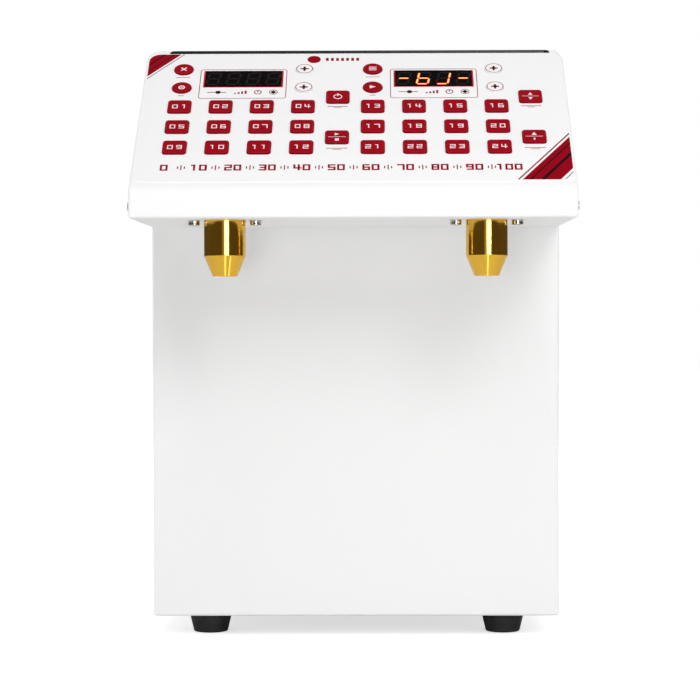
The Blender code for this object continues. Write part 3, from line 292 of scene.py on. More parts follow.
@dataclass(frozen=True)
class Metal:
    """Bare or plated metal: lines along its working direction and a light haze."""

    name: str
    colour: Colour
    roughness: float = 0.2
    lines: tuple[float, float, float] = (30.0, 30.0, 3000.0)
    line_strength: float = 0.05
    haze: float = 0.05
    metallic: float = 1.0

    def material(self) -> bpy.types.Material:
        """Makes the material."""
        recipe = Recipe(self.name)
        lines = recipe.noise(1.0, 3.0, recipe.coordinates(self.lines))
        haze = recipe.noise(80.0, 4.0, rough=0.6)
        recipe.set(Base_Color=recipe.blend(haze, shade(self.colour, 0.94), self.colour))
        recipe.set(Metallic=self.metallic)
        recipe.set(Roughness=self.roughness + self.haze * (haze - 0.5) + 0.06 * (lines - 0.5))
        recipe.bump(lines, self.line_strength, 0.0001)
        return recipe.material


@dataclass(frozen=True)
class Rubber:
    """Dull moulded rubber with fine pits and dust low down."""

    name: str
    colour: Colour
    dust_top: float = 0.006

    def material(self) -> bpy.types.Material:
        """Makes the material."""
        recipe = Recipe(self.name)
        pits = recipe.noise(900.0, 4.0, rough=0.7)
        place = recipe.node("ShaderNodeTexCoord", output="Object")
        height = recipe.node("ShaderNodeSeparateXYZ", inputs={0: place}, output=2)
        low = recipe.node(
            "ShaderNodeMapRange", inputs={0: height, 1: 0.0, 2: self.dust_top, 3: 0.35, 4: 0.0}
        )
        dusty = (0.09, 0.088, 0.085)
        recipe.set(Base_Color=recipe.blend(low * pits, self.colour, dusty))
        recipe.set(Roughness=0.62 + 0.25 * (pits - 0.5))
        recipe.bump(pits, 0.25, 0.0002)
        return recipe.material


@dataclass(frozen=True)
class Lens:
    """Smoked display lens: almost black and glossy, with faint wipe marks."""

    name: str
    colour: Colour

    def material(self) -> bpy.types.Material:
        """Makes the material."""
        recipe = Recipe(self.name)
        wipe = recipe.noise(1.0, 4.0, recipe.coordinates((420, 60, 60), 0.5))
        recipe.set(Base_Color=recipe.blend(wipe, self.colour, shade(self.colour, 1.6)))
        recipe.set(Roughness=0.18 + 0.12 * (wipe - 0.5), Specular_IOR_Level=0.01)
        recipe.bump(wipe, 0.02, 0.0001)
        return recipe.material


@dataclass(frozen=True)
class Lamp:
    """A display segment: glowing when lit."""

    name: str
    colour: Colour
    glow: float

    def material(self) -> bpy.types.Material:
        """Makes the material."""
        recipe = Recipe(self.name)
        spot = recipe.noise(500.0, 2.0)
        recipe.set(Base_Color=recipe.blend(spot, shade(self.colour, 0.8), self.colour))
        recipe.set(Emission_Color=recipe.blend(spot, shade(self.colour, 0.85), self.colour))
        recipe.set(Emission_Strength=self.glow, Roughness=0.4, Specular_IOR_Level=0.05)
        return recipe.material


@dataclass(frozen=True)
class Board:
    """Circuit board: solder mask over tracks, with pale print."""

    name: str
    colour: Colour

    def material(self) -> bpy.types.Material:
        """Makes the material."""
        recipe = Recipe(self.name)
        cells = recipe.node(
            "ShaderNodeTexVoronoi",
            {"feature": "DISTANCE_TO_EDGE"},
            {"Vector": recipe.coordinates((1, 1, 1), 0.8), "Scale": 160.0},
            "Distance",
        )
        track = cells.above(0.12)
        recipe.set(Base_Color=recipe.blend(track, shade(self.colour, 1.7), self.colour))
        recipe.set(Roughness=0.42 - 0.12 * track)
        recipe.bump(track, 0.2, 0.0001)
        return recipe.material


class Finish(Enum):
    """Every finish of the object."""

    COAT = PowderCoat("white_powder_coat", (0.87, 0.87, 0.87))
    FILM = Moulded("white_panel_film", (0.88, 0.88, 0.88), 0.36, 0.008, 2600.0, 0.05, 0.0, 0.3)
    KEY = Moulded("crimson_key", (0.295, 0.0, 0.007), 0.42, 0.22, 1500.0, 0.06, 0.0, 0.03)
    KEY_RIM = Moulded("crimson_key_rim", (0.20, 0.0, 0.005), 0.45, 0.24, 900.0, 0.06, 0.0, 0.03)
    KEY_LINE = Moulded(
        "crimson_key_line", (0.50, 0.008, 0.028), 0.40, 0.10, 1500.0, 0.04, 0.0, 0.03
    )
    SIGN_KEY = Moulded("white_key", (0.88, 0.87, 0.87), 0.34, 0.01, 2000.0, 0.05, 0.0, 0.3)
    WHITE_INK = Moulded("white_ink", (0.88, 0.76, 0.78), 0.45, 0.02, 3000.0, 0.05, 0.0, 0.1)
    RED_INK = Moulded("crimson_ink", (0.28, 0.0, 0.009), 0.45, 0.16, 3000.0, 0.05, 0.0, 0.02)
    BRIGHT_INK = Moulded("bright_red_ink", (0.62, 0.002, 0.016), 0.42, 0.06, 3000.0, 0.05, 0.0, 0.1)
    DEEP_INK = Moulded("deep_red_ink", (0.085, 0.001, 0.005), 0.45, 0.2, 3000.0, 0.05, 0.0, 0.02)
    DARK_INK = Moulded("dark_ink", (0.014, 0.002, 0.003), 0.45, 0.2, 3000.0, 0.05, 0.0, 0.02)
    LENS = Lens("smoked_lens", (0.0014, 0.0007, 0.0008))
    UNLIT = Lamp("unlit_segment", (0.0040, 0.0004, 0.0006), 0.0)
    LIT = Lamp("lit_segment", (1.0, 0.13, 0.03), 1.0)
    LIT_CORE = Lamp("lit_segment_core", (1.0, 0.46, 0.15), 1.2)
    GOLD = Metal("polished_gold_plate", (0.85, 0.50, 0.06), 0.09, (20, 20, 2600), 0.10, 0.03)
    TANK = Metal("satin_tank_steel", (0.78, 0.78, 0.77), 0.40, (1800, 12, 12), 0.06, 0.06, 0.72)
    STEEL = Metal("brushed_stainless", (0.66, 0.66, 0.65), 0.30, (1800, 12, 12), 0.08, 0.06)
    SCREW = Metal("zinc_screw", (0.50, 0.48, 0.45), 0.24, (400, 400, 400), 0.05, 0.08)
    CHROME = Metal("bright_screw", (0.58, 0.57, 0.55), 0.13, (300, 300, 2000), 0.04, 0.04)
    BRASS = Metal("brass_contact", (0.78, 0.56, 0.24), 0.28, (500, 500, 500), 0.04, 0.06)
    ALUMINIUM = Metal("supply_aluminium", (0.70, 0.71, 0.72), 0.38, (900, 30, 30), 0.06, 0.08)
    BLACK_GLOSS = Moulded(
        "black_gloss_plastic", (0.007, 0.007, 0.008), 0.26, 0.2, 900.0, 0.04, 0.0, 0.16
    )
    BLACK = Moulded("black_plastic", (0.016, 0.016, 0.017), 0.42, 0.2, 1300.0, 0.16)
    GREY = Moulded("motor_grey", (0.17, 0.175, 0.18), 0.45, 0.08, 1300.0, 0.14)
    HOSE = Moulded("silicone_hose", (0.72, 0.71, 0.66), 0.38, 0.04, 600.0, 0.06)
    BOARD = Board("green_board", (0.010, 0.115, 0.045))
    RUBBER = Rubber("black_rubber", (0.006, 0.006, 0.006))

    def material(self) -> bpy.types.Material:
        """Gives the finish's material, made once."""
        found = bpy.data.materials.get(self.value.name)
        return found or self.value.material()


class Form:
    """A mesh under way, shaped by bmesh operators and handed over as a piece."""

    def __init__(self) -> None:
        """Starts empty."""
        self.mesh = bmesh.new()

    @classmethod
    def plate(cls, outline: Sequence[Point], depth: float) -> "Form":
        """Raises a flat outline into a plate.

        Args:
            outline: Corners in X and Y.
            depth: Thickness along Z, from 0.

        Returns:
            The form.
        """
        form = cls()
        face = form.mesh.faces.new([form.mesh.verts.new((x, y, 0.0)) for x, y in outline])
        grown = bmesh.ops.extrude_face_region(form.mesh, geom=[face])["geom"]
        moved = [part for part in grown if isinstance(part, bmesh.types.BMVert)]
        bmesh.ops.translate(form.mesh, verts=moved, vec=(0, 0, depth))
        return form._outward()

    @classmethod
    def slab(
        cls, low: Sequence[float], high: Sequence[float], corner: float = 0.0, steps: int = 5
    ) -> "Form":
        """Makes a slab between two corners, its upright edges rounded.

        Args:
            low: Lowest corner.
            high: Highest corner.
            corner: Radius of the upright edges.
            steps: Facets in each rounded edge.

        Returns:
            The form.
        """
        form = cls()
        bmesh.ops.create_cube(form.mesh, size=1.0)
        size = Vector(high) - Vector(low)
        bmesh.ops.scale(form.mesh, verts=form.mesh.verts, vec=size)
        bmesh.ops.translate(form.mesh, verts=form.mesh.verts, vec=(Vector(high) + Vector(low)) / 2)
        if corner > 0:
            form.bevel(lambda e: abs((e.verts[0].co - e.verts[1].co).z) > size.z / 2, corner, steps)
        return form

    @classmethod
    def disc(cls, radius: float, depth: float, sides: int = 40) -> "Form":
        """Makes a round plate about Z, from 0 up."""
        form = cls()
        bmesh.ops.create_cone(
            form.mesh, cap_ends=True, segments=sides, radius1=radius, radius2=radius, depth=depth
        )
        bmesh.ops.translate(form.mesh, verts=form.mesh.verts, vec=(0, 0, depth / 2))
        return form

    @classmethod
    def lathe(cls, profile: Sequence[Point], steps: int = 72, closed: bool = False) -> "Form":
        """Spins a profile of (radius, height) about Z.

        Args:
            profile: Points from one end to the other.
            steps: Facets round the axis.
            closed: Whether the last point joins the first.

        Returns:
            The form.
        """
        form = cls()
        verts = [form.mesh.verts.new((r, 0.0, z)) for r, z in profile]
        pairs = list(zip(verts, verts[1:]))
        if closed:
            pairs.append((verts[-1], verts[0]))
        edges = [form.mesh.edges.new(pair) for pair in pairs]
        bmesh.ops.spin(
            form.mesh,
            geom=verts + edges,
            cent=(0, 0, 0),
            axis=(0, 0, 1),
            dvec=(0, 0, 0),
            angle=2 * math.pi,
            steps=steps,
            use_merge=True,
            use_duplicate=False,
        )
        bmesh.ops.remove_doubles(form.mesh, verts=form.mesh.verts, dist=1e-6)
        return form._outward()

    @classmethod
    def of_node(cls, node: str) -> "Form":
        """Copies a CAD node's mesh, merged and with its flat faces whole.

        Args:
            node: The node's name.

        Returns:
            The form.
        """
        form = cls()
        form.mesh.from_mesh(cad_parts[node].data)
        bmesh.ops.remove_doubles(form.mesh, verts=form.mesh.verts, dist=2e-6)
        bmesh.ops.dissolve_limit(
            form.mesh,
            angle_limit=math.radians(0.5),
            use_dissolve_boundaries=False,
            verts=form.mesh.verts,
            edges=form.mesh.edges,
        )
        return form

    def _outward(self) -> "Form":
        """Turns every face outwards."""
        bmesh.ops.recalc_face_normals(self.mesh, faces=self.mesh.faces)
        return self

    def bevel(self, chosen: Callable[[Any], bool], width: float, steps: int = 2) -> "Form":
        """Rounds the chosen edges.

        Args:
            chosen: Says whether an edge is rounded.
            width: Width of the rounding.
            steps: Facets in it.

        Returns:
            This form.
        """
        edges = [edge for edge in self.mesh.edges if chosen(edge)]
        bmesh.ops.bevel(
            self.mesh,
            geom=edges,
            offset=width,
            offset_type="OFFSET",
            segments=steps,
            profile=0.5,
            affect="EDGES",
            clamp_overlap=True,
            material=-1,
        )
        return self

    def soften(self, width: float, steps: int = 2, above: float = 30.0) -> "Form":
        """Rounds every edge that is sharper than an angle in degrees."""
        limit = math.radians(above)
        return self.bevel(lambda e: e.is_manifold and e.calc_face_angle(0.0) > limit, width, steps)

    def move(self, matrix: Matrix) -> "Form":
        """Places the form."""
        bmesh.ops.transform(self.mesh, matrix=matrix, verts=self.mesh.verts)
        return self

    def at(self, x: float, y: float, z: float = 0.0) -> "Form":
        """Shifts the form."""
        return self.move(Matrix.Translation((x, y, z)))

    def turned(self, degrees: float, axis: str = "Z") -> "Form":
        """Turns the form about an axis through the origin."""
        return self.move(Matrix.Rotation(math.radians(degrees), 4, axis))

    def paint(self, index: int) -> "Form":
        """Gives every face one of the piece's finishes."""
        for face in self.mesh.faces:
            face.material_index = index
        return self

    def cut(self, point: Sequence[float], normal: Sequence[float]) -> "Form":
        """Keeps what lies behind a plane, and closes the cut.

        Args:
            point: A point of the plane.
            normal: Points to the side that goes.

        Returns:
            This form.
        """
        everything = list(self.mesh.verts) + list(self.mesh.edges) + list(self.mesh.faces)
        found = bmesh.ops.bisect_plane(
            self.mesh, geom=everything, dist=1e-7, plane_co=point, plane_no=normal, clear_outer=True
        )["geom_cut"]
        rim = [part for part in found if isinstance(part, bmesh.types.BMEdge)]
        if rim:
            bmesh.ops.contextual_create(self.mesh, geom=rim)
        return self._outward()

    def join(self, *others: "Form") -> "Form":
        """Adds other forms' meshes to this one.

        Args:
            others: Forms, used up by this.

        Returns:
            This form.
        """
        for other in others:
            carrier = bpy.data.meshes.new("carrier")
            other.mesh.to_mesh(carrier)
            self.mesh.from_mesh(carrier)
            bpy.data.meshes.remove(carrier)
            other.mesh.free()
        return self

    def piece(
        self,
        name: str,
        body: str,
        slot: str,
        finishes: Sequence[Finish],
        replaces: Iterable[str] = (),
        sharp: float = 34.0,
    ) -> bpy.types.Object:
        """Hands the form over as a finished piece.

        Args:
            name: The piece's name.
            body: The body that it rides on.
            slot: Not used.
            finishes: Its finishes, by the faces' index.
            replaces: CAD nodes that it stands for.
            sharp: Angle in degrees over which an edge stays sharp.

        Returns:
            The piece.
        """
        limit = math.radians(sharp)
        for face in self.mesh.faces:
            face.smooth = True
        for edge in self.mesh.edges:
            edge.smooth = edge.is_manifold and edge.calc_face_angle(0.0) < limit
        data = bpy.data.meshes.new(name)
        self.mesh.to_mesh(data)
        self.mesh.free()
        item = bpy.data.objects.new(name, data)
        bpy.context.scene.collection.objects.link(item)
        for finish in finishes:
            data.materials.append(finish.material())
        even = item.modifiers.new("even_normals", "WEIGHTED_NORMAL")
        even.mode = "FACE_AREA"
        even.keep_sharp = True
        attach(item, body)
        if replaces:
            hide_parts(*replaces)
        LOG.info("piece %s on %s: %d faces", name, body, len(data.polygons))
        return item


@dataclass
class Screw:
    """A small socket screw's head, seat at 0 and rising along Z."""

    radius: float = 0.0045
    height: float = 0.0022
    recess: float = 0.45
    sides: int = 24

    def head(self) -> Form:
        """Makes the head with its recess."""
        form = Form()
        outer = bmesh.ops.create_circle(form.mesh, segments=self.sides, radius=self.radius)["verts"]
        base = form.mesh.faces.new(outer)
        grown = bmesh.ops.extrude_face_region(form.mesh, geom=[base])["geom"]
        top = [p for p in grown if isinstance(p, bmesh.types.BMVert)]
        bmesh.ops.translate(form.mesh, verts=top, vec=(0, 0, self.height))
        lid = next(p for p in grown if isinstance(p, bmesh.types.BMFace))
        inner = self.radius * (1 - self.recess)
        bmesh.ops.inset_region(form.mesh, faces=[lid], thickness=inner, depth=0.0)
        self._square_up(lid, self.radius * self.recess)
        sunk = bmesh.ops.extrude_face_region(form.mesh, geom=[lid])["geom"]
        low = [p for p in sunk if isinstance(p, bmesh.types.BMVert)]
        bmesh.ops.translate(form.mesh, verts=low, vec=(0, 0, -0.55 * self.height))
        bmesh.ops.delete(form.mesh, geom=[f for f in [lid] if f.is_valid], context="FACES_ONLY")
        form._outward()
        edge = self.radius - 1e-5
        form.bevel(
            lambda e: all(v.co.z > self.height - 1e-6 and v.co.xy.length > edge for v in e.verts),
            self.height * 0.22,
            3,
        )
        return form

    def _square_up(self, face: Any, radius: float) -> None:
        """Pulls a round face's corners on to a hexagon.

        Args:
            face: The face.
            radius: The hexagon's corner radius.
        """
        sector = math.pi / 3
        for vert in face.verts:
            angle = math.atan2(vert.co.y, vert.co.x) % sector
            reach = radius * math.cos(sector / 2) / math.cos(angle - sector / 2)
            vert.co.xy = vert.co.xy.normalized() * reach


@dataclass
class Cabinet:
    """The folded-sheet skin: casing, front cover, back panel and their screws."""

    side_screw: Screw = field(default_factory=lambda: Screw(0.0033, 0.0013))
    side_screw_place: Vector = field(default_factory=lambda: Vector((0.165, -0.196, 0.3432)))
    rear_margin: float = 0.007
    rear_screw: Screw = field(default_factory=lambda: Screw(0.0036, 0.0018))

    def build(self) -> None:
        """Builds the skin."""
        Form.of_node("casing").piece(
            "casing_skin", CABINET, "cabinet_coat", [Finish.COAT], ["casing"], 40
        )
        Form.of_node("front_cover").piece(
            "front_cover_skin", CABINET, "cabinet_coat", [Finish.COAT], ["front_cover"], 40
        )
        Form.of_node("rear_cover").piece(
            "rear_cover_skin", CABINET, "cabinet_coat", [Finish.COAT], ["rear_cover"], 40
        )
        self._side_screws()
        self._rear_screws()

    def _side_screws(self) -> None:
        """Makes the two screws that hold the front cover's flanges."""
        heads = Form()
        for side in (-1, 1):
            head = self.side_screw.head().turned(90 * side, "Y")
            place = self.side_screw_place
            heads.join(head.at(side * place.x, place.y, place.z))
        heads.piece("side_screws", CABINET, "cabinet_coat", [Finish.SCREW])

    def _rear_screws(self) -> None:
        """Makes the screws round the edge of the back panel."""
        low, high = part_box("rear_cover")
        heads = Form()
        middle = (low.z + high.z) / 2
        for x in (low.x + self.rear_margin, high.x - self.rear_margin):
            for z in (low.z + self.rear_margin, middle, high.z - self.rear_margin):
                heads.join(self.rear_screw.head().turned(-90, "X").at(x, high.y, z))
        heads.piece("rear_screws", CABINET, "cabinet_coat", [Finish.SCREW])


@dataclass
class Nozzle:
    """One gold nozzle with its flange, barb and screws."""

    side: str
    x: float
    y: float = NOZZLE_Y
    radius: float = 0.0157
    barrel: float = 0.0268
    cone: float = 0.0152
    tip_radius: float = 0.0093
    mouth_radius: float = 0.0045
    mouth_depth: float = 0.014
    bore: float = 0.0025
    barb: float = 0.0042
    barb_neck: float = 0.0034
    barb_top: float = 0.0175
    collar: float = 0.0126
    collar_top: float = 0.0055
    seat: float = 0.0015
    flange_half: Point = (0.0306, 0.013)
    flange_levels: Point = (0.0017, 0.0053)
    flange_corner: float = 0.0104
    edge: float = 0.00035
    screw: Screw = field(default_factory=lambda: Screw(0.0043, 0.0037))
    screw_offset: float = 0.0231
    washer: float = 0.0003
    washer_inner: float = 0.0026
    washer_outer: float = 0.0049

    def build(self) -> None:
        """Builds the nozzle and its screws."""
        tip = -self.barrel - self.cone
        profile = [
            (self.bore, self.barb_top),
            (0.0035, self.barb_top),
            (self.barb, 0.0165),
            (self.barb, 0.0147),
            (self.barb_neck, 0.0138),
            (self.barb, 0.0122),
            (self.barb_neck, 0.0113),
            (0.0036, self.collar_top),
            (self.collar, self.collar_top),
            (self.collar, self.seat),
            (self.radius, self.seat),
            (self.radius, -self.barrel),
            (self.tip_radius, tip),
            (self.mouth_radius, tip),
            (self.mouth_radius, tip + self.mouth_depth),
            (self.bore, tip + self.mouth_depth + self.mouth_radius),
        ]
        body = Form.lathe(profile, 96, closed=True)
        body.bevel(self._worked_edge, self.edge, 2)
        wide, deep = self.flange_half
        under, over = self.flange_levels
        flange = Form.slab((-wide, -deep, under), (wide, deep, over), self.flange_corner)
        place = Matrix.Translation((self.x, self.y, UNDERSIDE))
        body.join(flange).move(place)
        node = f"nozzle_{self.side}"
        body.piece(f"{node}_body", CABINET, "nozzle_brass", [Finish.GOLD], [node], 28)
        heads = Form()
        for hand in (-1, 1):
            across = hand * self.screw_offset
            head = self.screw.head().turned(180, "X").at(across, 0, -self.washer)
            section = [
                (self.washer_inner, -self.washer),
                (self.washer_outer, -self.washer),
                (self.washer_outer, 0.0),
                (self.washer_inner, 0.0),
            ]
            heads.join(head, Form.lathe(section, 32, True).at(across, 0))
        heads.move(place)
        heads.piece(f"{node}_screws", CABINET, "nozzle_brass", [Finish.CHROME])

    def _worked_edge(self, edge: Any) -> bool:
        """Says whether an edge is one of the barrel's or cone's rings."""
        flat = abs(edge.verts[0].co.z - edge.verts[1].co.z) < 1e-7
        low = edge.verts[0].co.z < -self.barrel + 1e-5
        return flat and low and edge.is_manifold and edge.calc_face_angle(0.0) > math.radians(20)


class Mark(Enum):
    """What a key's face shows."""

    POWER = "power"
    START = "start"
    RANGE = "range"
    SHIFT = "shift"
    CROSS = "cross"
    RING = "ring"
    BARS = "bars"
    PLAY = "play"
    PLUS = "plus"


STROKES: dict[str, tuple[tuple[float, float, float, float], ...]] = {
    "0": ((0, 0, 1, 0), (1, 0, 1, 1), (0, 1, 1, 1), (0, 0, 0, 1)),
    "1": ((0.6, 0, 0.6, 1), (0.2, 1, 0.6, 1)),
    "2": ((0, 1, 1, 1), (1, 0.5, 1, 1), (0, 0.5, 1, 0.5), (0, 0, 0, 0.5), (0, 0, 1, 0)),
    "3": ((0, 1, 1, 1), (1, 0, 1, 1), (0.2, 0.5, 1, 0.5), (0, 0, 1, 0)),
    "4": ((0, 0.38, 0, 1), (0, 0.38, 1.12, 0.38), (0.78, 0, 0.78, 1)),
    "5": ((0, 1, 1, 1), (0, 0.5, 0, 1), (0, 0.5, 1, 0.5), (1, 0, 1, 0.5), (0, 0, 1, 0)),
    "6": ((0, 1, 0.9, 1), (0, 0, 0, 1), (0, 0.5, 1, 0.5), (1, 0, 1, 0.5), (0, 0, 1, 0)),
    "7": ((0, 1, 1, 1), (1, 0, 1, 1)),
    "8": ((0, 0, 1, 0), (1, 0, 1, 1), (0, 1, 1, 1), (0, 0, 0, 1), (0, 0.5, 1, 0.5)),
    "9": ((0.1, 0, 1, 0), (1, 0, 1, 1), (0, 1, 1, 1), (0, 0.5, 0, 1), (0, 0.5, 1, 0.5)),
}


@dataclass(frozen=True)
class Figures:
    """Squared figures of one stroke width, for plain numbers."""

    height: float
    width: float
    stroke: float
    gap: float

    def form(self, text: str) -> Form:
        """Draws a number in raised ink, centred.

        Args:
            text: Its figures.

        Returns:
            The form.
        """
        made = Form()
        pitch = self.width + self.gap
        span = pitch * len(text) - self.gap
        inner_wide = self.width - self.stroke
        inner_tall = self.height - self.stroke
        for place, figure in enumerate(text):
            left = place * pitch - span / 2 + self.stroke / 2
            for x0, y0, x1, y1 in STROKES[figure]:
                wide = (x1 - x0) * inner_wide + self.stroke
                tall = (y1 - y0) * inner_tall + self.stroke
                across = left + (x0 + x1) / 2 * inner_wide
                up = (y0 + y1 - 1) / 2 * inner_tall
                level = INK * 0.3 if x0 == x1 else 0.0
                made.join(bar(wide, tall, self.stroke * 0.22).at(across, up, level))
        return made


def bar(wide: float, tall: float, corner: float = 0.0) -> Form:
    """Makes an upright or level bar of ink, centred."""
    return Form.slab((-wide / 2, -tall / 2, 0), (wide / 2, tall / 2, INK), corner, 2)


def ring(outer: float, inner: float, sides: int = 40) -> Form:
    """Makes a ring of ink about the origin."""
    return Form.lathe([(inner, 0), (outer, 0), (outer, INK), (inner, INK)], sides, True)


def triangle(size: float) -> Form:
    """Makes a triangle of ink that points along X."""
    return Form.plate([(-size / 2, -size / 2), (size / 2, 0.0), (-size / 2, size / 2)], INK)


def frame_line(wide: float, tall: float, line: float, corner: float) -> Form:
    """Makes a thin rounded frame of ink.

    Args:
        wide: Outer width.
        tall: Outer height.
        line: Width of the line.
        corner: Outer corner radius.

    Returns:
        The form, centred.
    """
    form = Form.slab((-wide / 2, -tall / 2, 0), (wide / 2, tall / 2, INK), corner)
    faces = [f for f in form.mesh.faces if abs(f.normal.z) > 0.9]
    bmesh.ops.inset_individual(form.mesh, faces=faces, thickness=line)
    bmesh.ops.bridge_loops(form.mesh, edges=[e for f in faces for e in f.edges])
    bmesh.ops.delete(form.mesh, geom=faces, context="FACES_ONLY")
    return form._outward()


def rule() -> Form:
    """Makes the thin line that parts a function key's two signs."""
    return bar(0.0130, 0.0004)


def mark_form(mark: Mark) -> Form:
    """Makes one key's sign.

    Args:
        mark: Which sign.

    Returns:
        The form, centred, in ink.
    """
    if mark is Mark.POWER:
        return ring(0.0034, 0.0026).join(bar(0.0009, 0.0036).at(0, 0.0026, INK / 2))
    if mark is Mark.START:
        square = bar(0.0030, 0.0030).at(0, -0.0036)
        return triangle(ARROW).at(0, 0.0036).join(rule(), square)
    if mark is Mark.RANGE:
        up = triangle(ARROW).turned(90).at(0, ARROW)
        return up.join(rule(), triangle(ARROW).turned(-90).at(0, -ARROW))
    if mark is Mark.SHIFT:
        stem = bar(0.0012, 0.0026).at(0, -0.0034)
        return triangle(0.0040).turned(90).at(0, 0.0036).join(rule(), stem)
    if mark is Mark.CROSS:
        second = bar(0.0058, 0.0011).turned(-45).at(0, 0, INK / 2)
        return bar(0.0058, 0.0011).turned(45).join(second)
    if mark is Mark.RING:
        return ring(0.0026, 0.0016).join(Form.disc(0.0008, INK, 20))
    if mark is Mark.BARS:
        middle, upper, lower = (bar(0.0060, 0.0009).at(0, up) for up in (0.0, 0.0020, -0.0020))
        return middle.join(upper, lower)
    if mark is Mark.PLAY:
        return triangle(0.0046)
    cross = bar(0.0064, 0.0014).join(bar(0.0014, 0.0064).at(0, 0, INK / 2))
    return cross.join(Form.disc(0.0019, INK, 4).turned(45).at(0, 0, INK))


@dataclass
class Key:
    """One key of the panel: a cap with a raised rim, its sign and the stem behind."""

    node: str
    across: float
    up: float
    width: float = 0.0180
    height: float = 0.0176
    round: bool = False
    text: str = ""
    mark: Optional[Mark] = None
    white: bool = False
    base: float = 0.0008
    rise: float = 0.0012
    edge: float = 0.00045
    line: float = 0.0009
    line_width: float = 0.00022
    dish: float = 0.00012
    line_rise: float = 0.00004
    corner: float = 0.0024
    outline: float = 0.0006
    stem_half: float = 0.0025
    stem_length: float = 0.0060
    figures: Figures = Figures(0.0051, 0.0043, 0.00085, 0.0025)

    def build(self) -> None:
        """Builds the key on its body."""
        if self.round:
            cap = Form.disc(self.width / 2, self.rise, 64)
        else:
            half = Vector((self.width / 2, self.height / 2, 0))
            cap = Form.slab((-half.x, -half.y, 0), (half.x, half.y, self.rise), self.corner)
        cap.bevel(lambda e: all(v.co.z > self.rise - 1e-6 for v in e.verts), self.edge, 3)
        cap.paint(1)
        top = [f for f in cap.mesh.faces if f.normal.z > 0.999]
        self._ring_inset(cap, top, self.line - self.edge, 0.0, 0)
        self._ring_inset(cap, top, self.line_width, self.line_rise, 2)
        self._ring_inset(cap, top, self.line_width, -self.dish, 0)
        for face in top:
            face.material_index = 0
        level = self.rise + self.line_rise - self.dish
        sign = self.figures.form(self.text) if self.text else mark_form(self.mark or Mark.PLUS)
        cap.join(sign.at(0, 0, level).paint(3))
        if self.white:
            outer = self.width / 2 - self.edge
            ring_line = ring(outer, outer - self.outline, 64)
            cap.join(ring_line.at(0, 0, self.rise - INK / 2).paint(4))
        reach = self.stem_half
        stem = Form.slab((-reach, -reach, -self.stem_length), (reach, reach, 0.0001)).paint(1)
        cap.join(stem).move(SLOPE @ Matrix.Translation((self.across, self.up, self.base)))
        red = [Finish.KEY, Finish.KEY_RIM, Finish.KEY_LINE, Finish.WHITE_INK]
        pale = [Finish.SIGN_KEY, Finish.SIGN_KEY, Finish.SIGN_KEY, Finish.DEEP_INK, Finish.RED_INK]
        slot = "key_white" if self.white else "key_crimson"
        finishes = pale if self.white else red
        cap.piece(f"{self.node}_face", f"{self.node}_cap", slot, finishes, [self.node], 50)

    def _ring_inset(
        self, cap: Form, top: list[Any], thickness: float, depth: float, index: int
    ) -> None:
        """Insets the top face and paints the ring that this leaves.

        Args:
            cap: The cap.
            top: Its top faces.
            thickness: Width of the ring.
            depth: Rise of the inner face.
            index: The ring's finish.
        """
        made = bmesh.ops.inset_region(cap.mesh, faces=top, thickness=thickness, depth=depth)
        for face in made["faces"]:
            face.material_index = index


